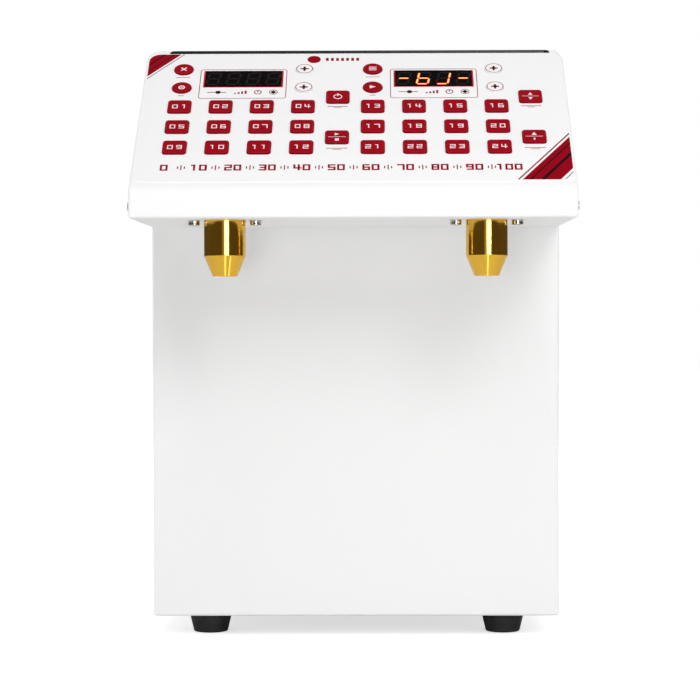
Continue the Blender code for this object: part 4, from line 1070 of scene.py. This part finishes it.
@dataclass
class Display:
    """One display: smoked lens, red edge and four slanted figures."""

    side: str
    across: float
    up: float = 0.1475
    width: float = 0.0618
    height: float = 0.0246
    top: float = 0.0009
    figure_width: float = 0.0088
    figure_height: float = 0.0160
    figure_pitch: float = 0.0155
    stroke: float = 0.0017
    slant: float = 0.16
    depth: float = 0.0087
    edge_line: float = 0.0008
    segment_gap: float = 0.0008
    point_radius: float = 0.00075
    point_offset: float = 0.0026
    lit: tuple[str, ...] = ("", "", "", "")

    def build(self) -> None:
        """Builds the lens and its figures."""
        half = Vector((self.width / 2, self.height / 2))
        lens = Form.slab((-half.x, -half.y, -self.depth), (half.x, half.y, self.top))
        self._place(lens).piece(
            f"display_{self.side}_lens",
            CABINET,
            "display_lens",
            [Finish.LENS],
            [f"display_{self.side}"],
        )
        edge = frame_line(self.width, self.height, self.edge_line, 0.0001).at(0, 0, self.top)
        self._place(edge).piece(
            f"display_{self.side}_edge", CABINET, "display_lens", [Finish.BRIGHT_INK]
        )
        figures = Form()
        for i, lit in enumerate(self.lit):
            across = (i - 1.5) * self.figure_pitch
            figures.join(self._figure(lit).at(across, 0, self.top))
        finishes = [Finish.UNLIT, Finish.LIT, Finish.LIT_CORE]
        self._place(figures).piece(
            f"display_{self.side}_figures", CABINET, "display_lens", finishes
        )

    def _place(self, form: Form) -> Form:
        """Puts a form of the display on the slope."""
        return form.move(SLOPE @ Matrix.Translation((self.across, self.up, 0)))

    def _figure(self, lit: str) -> Form:
        """Makes one figure.

        Args:
            lit: Letters of the segments that glow, a to g.

        Returns:
            The form, centred and slanted.
        """
        wide = self.figure_width / 2
        tall = self.figure_height / 2
        places = {
            "a": (0, tall, 0),
            "b": (wide, tall / 2, 90),
            "c": (wide, -tall / 2, 90),
            "d": (0, -tall, 0),
            "e": (-wide, -tall / 2, 90),
            "f": (-wide, tall / 2, 90),
            "g": (0, 0, 0),
        }
        figure = Form()
        for letter, (x, y, turn) in places.items():
            length = self.figure_height / 2 if turn else self.figure_width
            glows = letter in lit
            figure.join(*self._segment(length - self.segment_gap, glows, turn, x, y))
        point = Form.disc(self.point_radius, INK, 16).at(wide + self.point_offset, -tall)
        figure.join(point.paint(0))
        shear = Matrix.Identity(4)
        shear[0][1] = self.slant
        return figure.move(shear)

    def _segment(self, length: float, lit: bool, turn: float, x: float, y: float) -> list[Form]:
        """Makes one pointed segment, with a hotter core where it is lit.

        Args:
            length: Length from tip to tip.
            lit: Whether it glows.
            turn: Its turn in degrees.
            x: Place across.
            y: Place up.

        Returns:
            The segment's forms.
        """
        made = []
        for level, share in enumerate((1.0, 0.5) if lit else (1.0,)):
            half = self.stroke / 2 * share
            reach = length / 2 - self.stroke / 2 * (1 - share)
            outline = [
                (-reach, 0),
                (-reach + half, -half),
                (reach - half, -half),
                (reach, 0),
                (reach - half, half),
                (-reach + half, half),
            ]
            form = Form.plate(outline, INK).turned(turn).at(x, y, level * INK)
            made.append(form.paint(level + 1 if lit else 0))
        return made


@dataclass
class PanelPrint:
    """What is printed on the film: frames, rules, a dosing scale and corner stripes."""

    block_centres: tuple[float, float] = (-0.08675, 0.0620)
    frame_up: float = 0.1400
    frame_wide: float = 0.0680
    frame_tall: float = 0.0416
    line: float = 0.00055
    scale_up: float = 0.0264
    scale_left: float = -0.1405
    scale_right: float = 0.1155
    scale_labels: int = 11
    figures: Figures = Figures(0.0077, 0.0058, 0.0016, 0.0011)
    icon_up: float = 0.1280
    frame_corner: float = 0.0024
    icon_steps: tuple[float, ...] = (0.0014, 0.0024, 0.0034, 0.0044)
    level_place: tuple[float, float] = (-0.0320, 0.1750)
    level_radius: float = 0.0053
    level_bars: int = 7
    level_pitch: float = 0.0040

    def build(self) -> None:
        """Builds the print, one piece for each ink."""
        red = Form()
        dark = Form()
        for centre in self.block_centres:
            red.join(self._frame(centre))
            red.join(*self._rules(centre))
            self._icons(centre, red, dark)
        red.join(*self._scale())
        red.join(*self._level_mark())
        self._stripes(red, dark)
        for name, form, finish in (
            ("panel_print_crimson", red, Finish.RED_INK),
            ("panel_print_dark", dark, Finish.DARK_INK),
        ):
            form.move(SLOPE @ Matrix.Translation((0, 0, FILM_TOP)))
            form.piece(name, CABINET, "panel_film", [finish])

    def _frame(self, centre: float) -> Form:
        """Makes the thin frame round one display."""
        outline = frame_line(self.frame_wide, self.frame_tall, self.line, self.frame_corner)
        return outline.at(centre, self.frame_up)

    def _rules(self, centre: float) -> list[Form]:
        """Makes the short rules under one block's function and round keys."""
        across = centre + 0.0742
        left = centre - 0.04755
        return [
            bar(0.0155, 0.0007).at(across, 0.1077),
            bar(0.0060, 0.0005).at(across, 0.1061),
            bar(0.0160, 0.0007).at(across, 0.0512),
            bar(0.0070, 0.0005).at(across, 0.0496),
            bar(0.0110, 0.0005).at(left, 0.1493),
            bar(0.0045, 0.0006).at(left, 0.1233),
        ]

    def _icons(self, centre: float, red: Form, dark: Form) -> None:
        """Adds the small signs under one display.

        Args:
            centre: The block's middle.
            red: Takes the crimson ink.
            dark: Takes the dark ink.
        """
        up = self.icon_up
        dark.join(Form.disc(0.0021, INK, 24).at(centre - 0.0190, up))
        red.join(bar(0.0150, 0.0008).at(centre - 0.0200, up))
        for i, tall in enumerate(self.icon_steps):
            red.join(bar(0.0016, tall).at(centre - 0.0056 + i * 0.0027, up + tall / 2 - 0.0022))
        red.join(ring(0.0030, 0.0022).at(centre + 0.0120, up))
        red.join(bar(0.0008, 0.0020).at(centre + 0.0120, up + 0.0009, INK / 2))
        red.join(ring(0.0034, 0.0028).at(centre + 0.0240, up))
        dark.join(Form.disc(0.0024, INK, 4).at(centre + 0.0240, up))

    def _scale(self) -> list[Form]:
        """Makes the dosing scale: plain numbers with ticks between them."""
        made = []
        pitch = (self.scale_right - self.scale_left) / (self.scale_labels - 1)
        for i in range(self.scale_labels):
            across = self.scale_left + i * pitch
            made.append(self.figures.form(str(10 * i)).at(across, self.scale_up))
            if i + 1 < self.scale_labels:
                for step, tall in ((0.40, 0.0030), (0.5, 0.0060), (0.60, 0.0030)):
                    made.append(bar(0.0009, tall).at(across + step * pitch, self.scale_up))
        return made

    def _level_mark(self) -> list[Form]:
        """Makes the plain disc and the row of level bars over the keys."""
        disc = Form.disc(self.level_radius, INK, 48)
        made = [disc.at(*self.level_place)]
        for i in range(self.level_bars):
            across = self.level_place[0] + 0.0105 + i * self.level_pitch
            made.append(bar(0.0022, 0.0042).at(across, self.level_place[1]))
        return made

    def _stripes(self, red: Form, dark: Form) -> None:
        """Adds plain diagonal stripes in two corners of the film.

        Args:
            red: Takes the crimson ink.
            dark: Takes the dark ink.
        """
        low, high = film_limits()
        inset = 0.0006
        top_left = (Vector((low.x, high.y)), Vector((0.0376, -0.0291)).normalized())
        low_right = (Vector((high.x, low.y)), Vector((-0.0627, 0.0430)).normalized())
        bands = [
            (top_left, 0.0, 0.0098, red),
            (top_left, 0.0098, 0.0112, dark),
            (top_left, 0.0112, 0.0158, red),
            (top_left, 0.0158, 0.0166, dark),
            (top_left, 0.0166, 0.0205, red),
            (top_left, 0.0222, 0.0228, dark),
            (low_right, 0.0060, 0.0066, dark),
            (low_right, 0.0090, 0.0186, red),
            (low_right, 0.0186, 0.0212, dark),
            (low_right, 0.0212, 0.0268, red),
            (low_right, 0.0268, 0.0280, dark),
            (low_right, 0.0280, 0.0322, red),
            (low_right, 0.0340, 0.0352, red),
        ]
        for (corner, inward), near, far, ink in bands:
            plate = Form.slab(
                (low.x + inset, low.y + inset, 0), (high.x - inset, high.y - inset, INK), 0.0094, 8
            )
            first = corner + inward * near
            last = corner + inward * far
            plate.cut((first.x, first.y, 0), (-inward.x, -inward.y, 0))
            plate.cut((last.x, last.y, 0), (inward.x, inward.y, 0))
            ink.join(plate)


def film_limits() -> tuple[Vector, Vector]:
    """Measures the film's lowest and highest corner on the slope.

    Returns:
        Both corners, across and up.
    """
    back = SLOPE.inverted()
    spots = [back @ v.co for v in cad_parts["membrane_overlay"].data.vertices]
    low = Vector((min(s.x for s in spots), min(s.y for s in spots)))
    high = Vector((max(s.x for s in spots), max(s.y for s in spots)))
    return low, high


@dataclass
class ControlPanel:
    """The slope: film, print, displays and thirty-six keys."""

    first_columns: tuple[float, float] = (-0.1343, 0.01445)
    pitch: float = 0.0317
    row_pitch: float = 0.0275
    lowest_row: float = 0.0522
    function_offset: float = 0.12175
    function_rise: float = 0.0130
    round_rows: tuple[float, float] = (0.1602, 0.1340)
    round_key_width: float = 0.0154
    sign_key_width: float = 0.0140
    film_seat: float = 0.00002
    film_ramp: float = 0.0010
    film_corner: float = 0.0105

    def build(self) -> None:
        """Builds the panel."""
        self._film()
        PanelPrint().build()
        Display("left", -0.08675).build()
        Display("right", 0.0620, lit=("g", "cdefg", "bcd", "g")).build()
        for key in self.keys():
            key.build()

    def _film(self) -> None:
        """Makes the film, its rim sloped down to the sheet that it is glued to."""
        form = Form.of_node("membrane_overlay").move(SLOPE.inverted())
        low, high = film_limits()
        middle = (low + high) / 2
        for vert in form.mesh.verts:
            spot = vert.co.xy
            inner = min(spot.x - low.x, high.x - spot.x, spot.y - low.y, high.y - spot.y)
            if vert.co.z < FILM_TOP / 2:
                vert.co.z = self.film_seat
                if inner < self.film_corner:
                    reach = (high - low) / 2
                    grown = Vector((1 + self.film_ramp / reach.x, 1 + self.film_ramp / reach.y))
                    vert.co.xy = middle + (spot - middle) * grown
        form.move(SLOPE)
        form.piece("membrane_film", CABINET, "panel_film", [Finish.FILM], ["membrane_overlay"], 60)

    def keys(self) -> list[Key]:
        """Lists every key with its place and sign."""
        found = []
        functions = (
            ("power", Mark.POWER, "start", Mark.START),
            ("range", Mark.RANGE, "shift", Mark.SHIFT),
        )
        rounds = (("escape", Mark.CROSS, "set", Mark.RING), ("menu", Mark.BARS, "run", Mark.PLAY))
        middle = self.lowest_row + self.row_pitch + self.function_rise
        for block, first in enumerate(self.first_columns):
            for i in range(12):
                number = 1 + i + 12 * block
                across = first + (i % 4) * self.pitch
                up = self.lowest_row + (2 - i // 4) * self.row_pitch
                found.append(Key(f"key_{number:02d}", across, up, text=f"{number:02d}"))
            upper, upper_mark, lower, lower_mark = functions[block]
            across = first + self.function_offset
            found.append(Key(f"key_{upper}", across, middle + self.row_pitch, mark=upper_mark))
            found.append(Key(f"key_{lower}", across, middle - self.row_pitch, mark=lower_mark))
            upper, upper_mark, lower, lower_mark = rounds[block]
            far = first + 3 * self.pitch
            side = ("left", "right")[block]
            for name, mark, sign, up in (
                (upper, upper_mark, "plus", self.round_rows[0]),
                (lower, lower_mark, "minus", self.round_rows[1]),
            ):
                found.append(
                    Key(f"key_{name}", first, up, self.round_key_width, round=True, mark=mark)
                )
                small = f"key_{sign}_{side}"
                width = self.sign_key_width
                found.append(Key(small, far, up, width, round=True, mark=Mark.PLUS, white=True))
        return found


@dataclass
class Foot:
    """One rubber foot."""

    node: str
    top_radius: float = 0.0175
    base_radius: float = 0.0140
    height: float = 0.0177
    rim: float = 0.0030
    hollow_radius: float = 0.0052
    hollow_depth: float = 0.0035
    rounding: float = 0.0009

    def build(self) -> None:
        """Builds the foot where its node is."""
        low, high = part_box(self.node)
        profile = [
            (0.0, self.hollow_depth),
            (0.0045, self.hollow_depth),
            (self.hollow_radius, 0.0),
            (self.base_radius, 0.0),
            (self.top_radius, self.height - self.rim),
            (self.top_radius, self.height),
            (0.0, self.height),
        ]
        form = Form.lathe(profile, 64)
        form.bevel(self._rounded, self.rounding, 3)
        form.at((low.x + high.x) / 2, (low.y + high.y) / 2)
        form.piece(f"{self.node}_rubber", CABINET, "foot_rubber", [Finish.RUBBER], [self.node])

    def _rounded(self, edge: Any) -> bool:
        """Says whether an edge is one of the outer rings."""
        first, second = edge.verts
        level = abs(first.co.z - second.co.z) < 1e-7
        outer = min(first.co.xy.length, second.co.xy.length) > self.base_radius - 1e-5
        return level and outer and edge.calc_face_angle(0.0) > 0.1


@dataclass
class Lid:
    """The black tank lid."""

    def build(self) -> None:
        """Builds the lid."""
        form = Form.of_node("lid")
        form.piece("lid_cover", "lid_flap", "lid_plastic", [Finish.BLACK_GLOSS], ["lid"], 40)


@dataclass
class MainsInlet:
    """The mains inlet and its rocker switch."""

    x: float = -0.100
    face: float = 0.206
    socket_z: float = 0.0755
    pivot: Vector = field(default_factory=lambda: Vector((-0.100, 0.202, 0.102)))
    tilt: float = -7.0
    contact_half: Point = (0.00108, 0.00208)
    contact_ends: Point = (-0.0158, -0.0049)
    mark_offset: float = 0.0040
    rocker_face: float = 0.0020

    def build(self) -> None:
        """Builds the inlet, its contacts and the rocker."""
        Form.of_node("power_inlet").piece(
            "inlet_body", CABINET, "inlet_plastic", [Finish.BLACK], ["power_inlet"], 40
        )
        contacts = Form()
        for across, rise in ((-0.0070, -0.00175), (0.0, 0.0035), (0.0070, -0.00175)):
            wide, tall = self.contact_half
            inner, outer = self.contact_ends
            contact = Form.slab((-wide, inner, -tall), (wide, outer, tall)).soften(0.0003, 2)
            contacts.join(contact.at(self.x + across, self.face, self.socket_z + rise))
        contacts.piece("inlet_contacts", CABINET, "inlet_plastic", [Finish.BRASS])
        self._rocker()

    def _rocker(self) -> None:
        """Builds the rocker with its on and off marks."""
        form = Form.of_node("power_rocker").paint(0)
        slope = math.degrees(math.atan2(0.0010, 0.0075))
        for side, sign in ((1, bar(0.0007, 0.0040)), (-1, ring(0.0020, 0.0014, 32))):
            sign.turned(-90, "X").turned(180, "Y")
            sign.at(0, self.rocker_face, 0)
            sign.at(0, 0, side * self.mark_offset).turned(-side * slope, "X")
            sign.at(0, INK, 0).paint(1)
            sign.turned(self.tilt, "X").at(*self.pivot)
            form.join(sign)
        finishes = [Finish.BLACK_GLOSS, Finish.WHITE_INK]
        form.piece("rocker_key", "rocker", "rocker_plastic", finishes, ["power_rocker"], 30)


@dataclass
class Interior:
    """What works inside: tank, pumps, hoses, board and supply."""

    def build(self) -> None:
        """Dresses each inner node."""
        table = [
            ("syrup_tank", CABINET, "tank_steel", Finish.TANK),
            ("control_board", CABINET, "circuit_board", Finish.BOARD),
            ("power_supply", CABINET, "supply_case", Finish.ALUMINIUM),
        ]
        for side in ("left", "right"):
            table.append((f"pump_{side}", CABINET, "pump_plastic", Finish.GREY))
            table.append((f"pump_shaft_{side}", f"shaft_{side}", "shaft_steel", Finish.STEEL))
            table.append((f"hose_{side}", CABINET, "hose_silicone", Finish.HOSE))
        for node, body, slot, finish in table:
            sharp = 60 if node.startswith("hose") else 40
            Form.of_node(node).piece(f"{node}_dressed", body, slot, [finish], [node], sharp)


@dataclass
class Studio:
    """Floor, soft light, white surroundings and the camera."""

    eye: tuple[float, float, float] = (0.01712, -1.81746, 0.26329)
    yaw: float = -0.01213
    pitch: float = -0.01612
    roll: float = -0.00219
    lens: float = 113.14
    fill: float = 0.37
    floor_colour: Colour = (0.90, 0.90, 0.90)
    near_lift: float = 0.60
    far_lift: float = 0.85
    wall_radius: float = 2.6
    wall_low: float = 0.03
    wall_high: float = 1.25
    bright_low: float = 0.33
    bright_high: float = 0.80
    strip_start: float = 1.7
    strip_end: float = 20.0
    soft_width: float = 13.0
    low_taper: float = 0.45
    low_turn: float = 6.0
    floor_half: float = 8.0

    def build(self) -> None:
        """Builds the studio."""
        self._world()
        self._floor()
        self._light("key", (0.45, -1.55, 1.10), (0.0, 0.0, 0.25), 0.60, 10.3)
        self._light("front_fill", (-0.20, -2.30, 0.20), (0.0, 0.0, 0.15), 0.35, 5.8)
        self._light("top", (-0.10, -1.35, 1.90), (0.0, 0.0, 0.20), 1.0, 8.7)
        self._light("left_fill", (-2.20, 0.10, 0.60), (0.0, 0.0, 0.25), 1.2, 14.0)
        self._light("right_fill", (2.20, 0.10, 0.60), (0.0, 0.0, 0.25), 1.2, 9.0)
        self._light("back_fill", (0.30, 2.40, 0.70), (0.0, 0.0, 0.25), 1.6, 24.0)
        self._cards()
        self._camera()
        bpy.context.scene.view_settings.view_transform = "Standard"

    def _cards(self) -> None:
        """Hangs the dark cards and glowing strips that only polished surfaces mirror: painted
        reflections, seen by no other ray.
        """
        glow_start = self.strip_start - self.soft_width
        wall = (self.wall_low, self.wall_high)
        band = (self.bright_low, self.bright_high)
        # Painted reflections: a dark wall, a faintly glowing band and a bright glowing strip round
        # the object, all seen only by glossy rays.
        arcs = (
            ("dark_card", self.strip_end, 360.0 + glow_start, wall, (0.125, 0.105, 0.080), 0.0),
            ("soft_card", glow_start, self.strip_start, wall, (0.10, 0.10, 0.10), 0.30),
            ("bright_card", self.strip_start, self.strip_end, band, (0.8, 0.8, 0.8), 16.0),
        )
        for name, start, end, corners, colour, glow in arcs:
            form = Form()
            verts = [form.mesh.verts.new((0.0, -self.wall_radius, z)) for z in corners]
            bmesh.ops.rotate(
                form.mesh, verts=verts, matrix=Matrix.Rotation(math.radians(start), 3, "Z")
            )
            edge = form.mesh.edges.new(verts)
            bmesh.ops.spin(
                form.mesh,
                geom=verts + [edge],
                cent=(0, 0, 0),
                axis=(0, 0, 1),
                dvec=(0, 0, 0),
                angle=math.radians(end - start),
                steps=max(4, round((end - start) / 6)),
                use_merge=False,
                use_duplicate=False,
            )
            self._card(name, form, colour, glow)
        # Painted reflections on the nozzle cones: glowing plates on the floor under each nozzle and
        # a faintly glowing upright sheet between them, seen only by glossy rays.
        low_cards = (("low_card", 0.044, 0.001, 1.2), ("low_core", 0.020, 0.002, 2.0))
        for name, half, level, glow in low_cards:
            low = Form()
            near = half * self.low_taper
            outline = [(-half, -0.52), (half, -0.52), (near, -0.20), (-near, -0.20)]
            for _, x in NOZZLES:
                plate = Form.plate(outline, 0.0004).turned(self.low_turn)
                low.join(plate.at(x, NOZZLE_Y, level))
            self._card(name, low, (0.8, 0.8, 0.8), glow)
        divider = Form.slab((-0.0005, -0.80, 0.003), (0.0005, -0.30, 0.29))
        self._card("low_divider", divider, (0.0, 0.0, 0.0), 0.80)

    def _card(self, name: str, form: Form, colour: Colour, glow: float) -> None:
        """Adds a card that nothing but a mirror-like ray meets, which paints a reflection.

        Args:
            name: Its name.
            form: Its shape.
            colour: Its colour.
            glow: Strength of its glow, which only reflections show.
        """
        data = bpy.data.meshes.new(name)
        form.mesh.to_mesh(data)
        form.mesh.free()
        card = bpy.data.objects.new(name, data)
        bpy.context.scene.collection.objects.link(card)
        recipe = Recipe(name)
        recipe.set(Base_Color=colour, Roughness=0.9, Specular_IOR_Level=0.0)
        recipe.set(Emission_Color=(1.0, 1.0, 1.0), Emission_Strength=glow)
        data.materials.append(recipe.material)
        for ray in ("camera", "diffuse", "shadow", "transmission", "volume_scatter"):
            setattr(card, f"visible_{ray}", False)

    def _world(self) -> None:
        """Lights the object evenly and shows white to the camera, metal and glass."""
        world = bpy.data.worlds.new("surroundings")
        bpy.context.scene.world = world
        world.use_nodes = True
        tree = world.node_tree
        back = tree.nodes["Background"]
        path = tree.nodes.new("ShaderNodeLightPath")
        seen = path.outputs["Is Camera Ray"]
        for name in ("Is Glossy Ray", "Is Transmission Ray"):
            both = tree.nodes.new("ShaderNodeMath")
            both.operation = "MAXIMUM"
            tree.links.new(seen, both.inputs[0])
            tree.links.new(path.outputs[name], both.inputs[1])
            seen = both.outputs[0]
        level = tree.nodes.new("ShaderNodeMapRange")
        level.inputs["To Min"].default_value = self.fill
        level.inputs["To Max"].default_value = 1.0
        tree.links.new(seen, level.inputs["Value"])
        tree.links.new(level.outputs["Result"], back.inputs["Strength"])
        back.inputs["Color"].default_value = (1, 1, 1, 1)

    def _floor(self) -> None:
        """Makes the pale floor, which fades to white in the camera's view."""
        form = Form()
        bmesh.ops.create_grid(form.mesh, x_segments=2, y_segments=2, size=self.floor_half)
        data = bpy.data.meshes.new("floor")
        form.mesh.to_mesh(data)
        form.mesh.free()
        floor = bpy.data.objects.new("floor", data)
        bpy.context.scene.collection.objects.link(floor)
        recipe = Recipe("studio_floor")
        grain = recipe.noise(30.0, 2.0)
        worn = shade(self.floor_colour, 0.99)
        recipe.set(Base_Color=recipe.blend(grain, worn, self.floor_colour))
        recipe.set(Roughness=0.8, Specular_IOR_Level=0.1)
        path = recipe.node("ShaderNodeLightPath", output="Is Camera Ray")
        reach = recipe.node(
            "ShaderNodeVectorMath",
            {"operation": "LENGTH"},
            {0: recipe.node("ShaderNodeTexCoord", output="Object")},
            "Value",
        )
        rise = recipe.node(
            "ShaderNodeMapRange",
            inputs={0: reach, 1: 0.5, 2: 2.0, 3: self.near_lift, 4: self.far_lift},
        )
        grey = recipe.blend(rise, (0.0, 0.0, 0.0), (1.0, 1.0, 1.0))
        lift = recipe.node("ShaderNodeEmission", inputs={"Color": grey, "Strength": 1.0})
        both = recipe.node(
            "ShaderNodeAddShader", inputs={0: Signal(recipe, recipe.shader.outputs[0]), 1: lift}
        )
        mixed = recipe.node(
            "ShaderNodeMixShader",
            inputs={0: path, 1: Signal(recipe, recipe.shader.outputs[0]), 2: both},
        )
        target = recipe.tree.nodes["Material Output"].inputs["Surface"]
        recipe.tree.links.new(mixed.socket, target)
        data.materials.append(recipe.material)

    def _light(
        self,
        name: str,
        place: Sequence[float],
        target: Sequence[float],
        size: float,
        power: float,
    ) -> None:
        """Adds one soft square lamp.

        Args:
            name: Its name.
            place: Where it hangs.
            target: Where it points.
            size: Length of its side.
            power: Its power in watts.
        """
        data = bpy.data.lights.new(name, "AREA")
        data.size = size
        data.energy = power
        lamp = bpy.data.objects.new(name, data)
        bpy.context.scene.collection.objects.link(lamp)
        lamp.location = place
        lamp.visible_glossy = False
        aim = Vector(target) - Vector(place)
        lamp.rotation_euler = aim.to_track_quat("-Z", "Y").to_euler()

    def _camera(self) -> None:
        """Places the camera at the photograph's viewpoint."""
        data = bpy.data.cameras.new("camera")
        data.lens = self.lens
        data.sensor_width = 36.0
        camera = bpy.data.objects.new("camera", data)
        bpy.context.scene.collection.objects.link(camera)
        level = math.cos(self.pitch)
        ahead = Vector(
            (math.sin(self.yaw) * level, math.cos(self.yaw) * level, math.sin(self.pitch))
        )
        right = Vector((math.cos(self.yaw), -math.sin(self.yaw), 0.0))
        up = right.cross(ahead)
        turned_right = math.cos(self.roll) * right + math.sin(self.roll) * up
        turned_up = math.cos(self.roll) * up - math.sin(self.roll) * right
        matrix = Matrix((turned_right, turned_up, -ahead)).transposed().to_4x4()
        matrix.translation = Vector(self.eye)
        camera.matrix_world = matrix
        bpy.context.scene.camera = camera


def main() -> None:
    """Builds each sub-assembly in order."""
    logging.basicConfig(level=logging.INFO, format="%(name)s: %(message)s")
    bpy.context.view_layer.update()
    Studio().build()
    Cabinet().build()
    ControlPanel().build()
    for side, x in NOZZLES:
        Nozzle(side, x).build()
    Lid().build()
    for place in ("front_left", "front_right", "rear_left", "rear_right"):
        Foot(f"foot_{place}").build()
    MainsInlet().build()
    Interior().build()


if __name__ == "__main__":
    main()
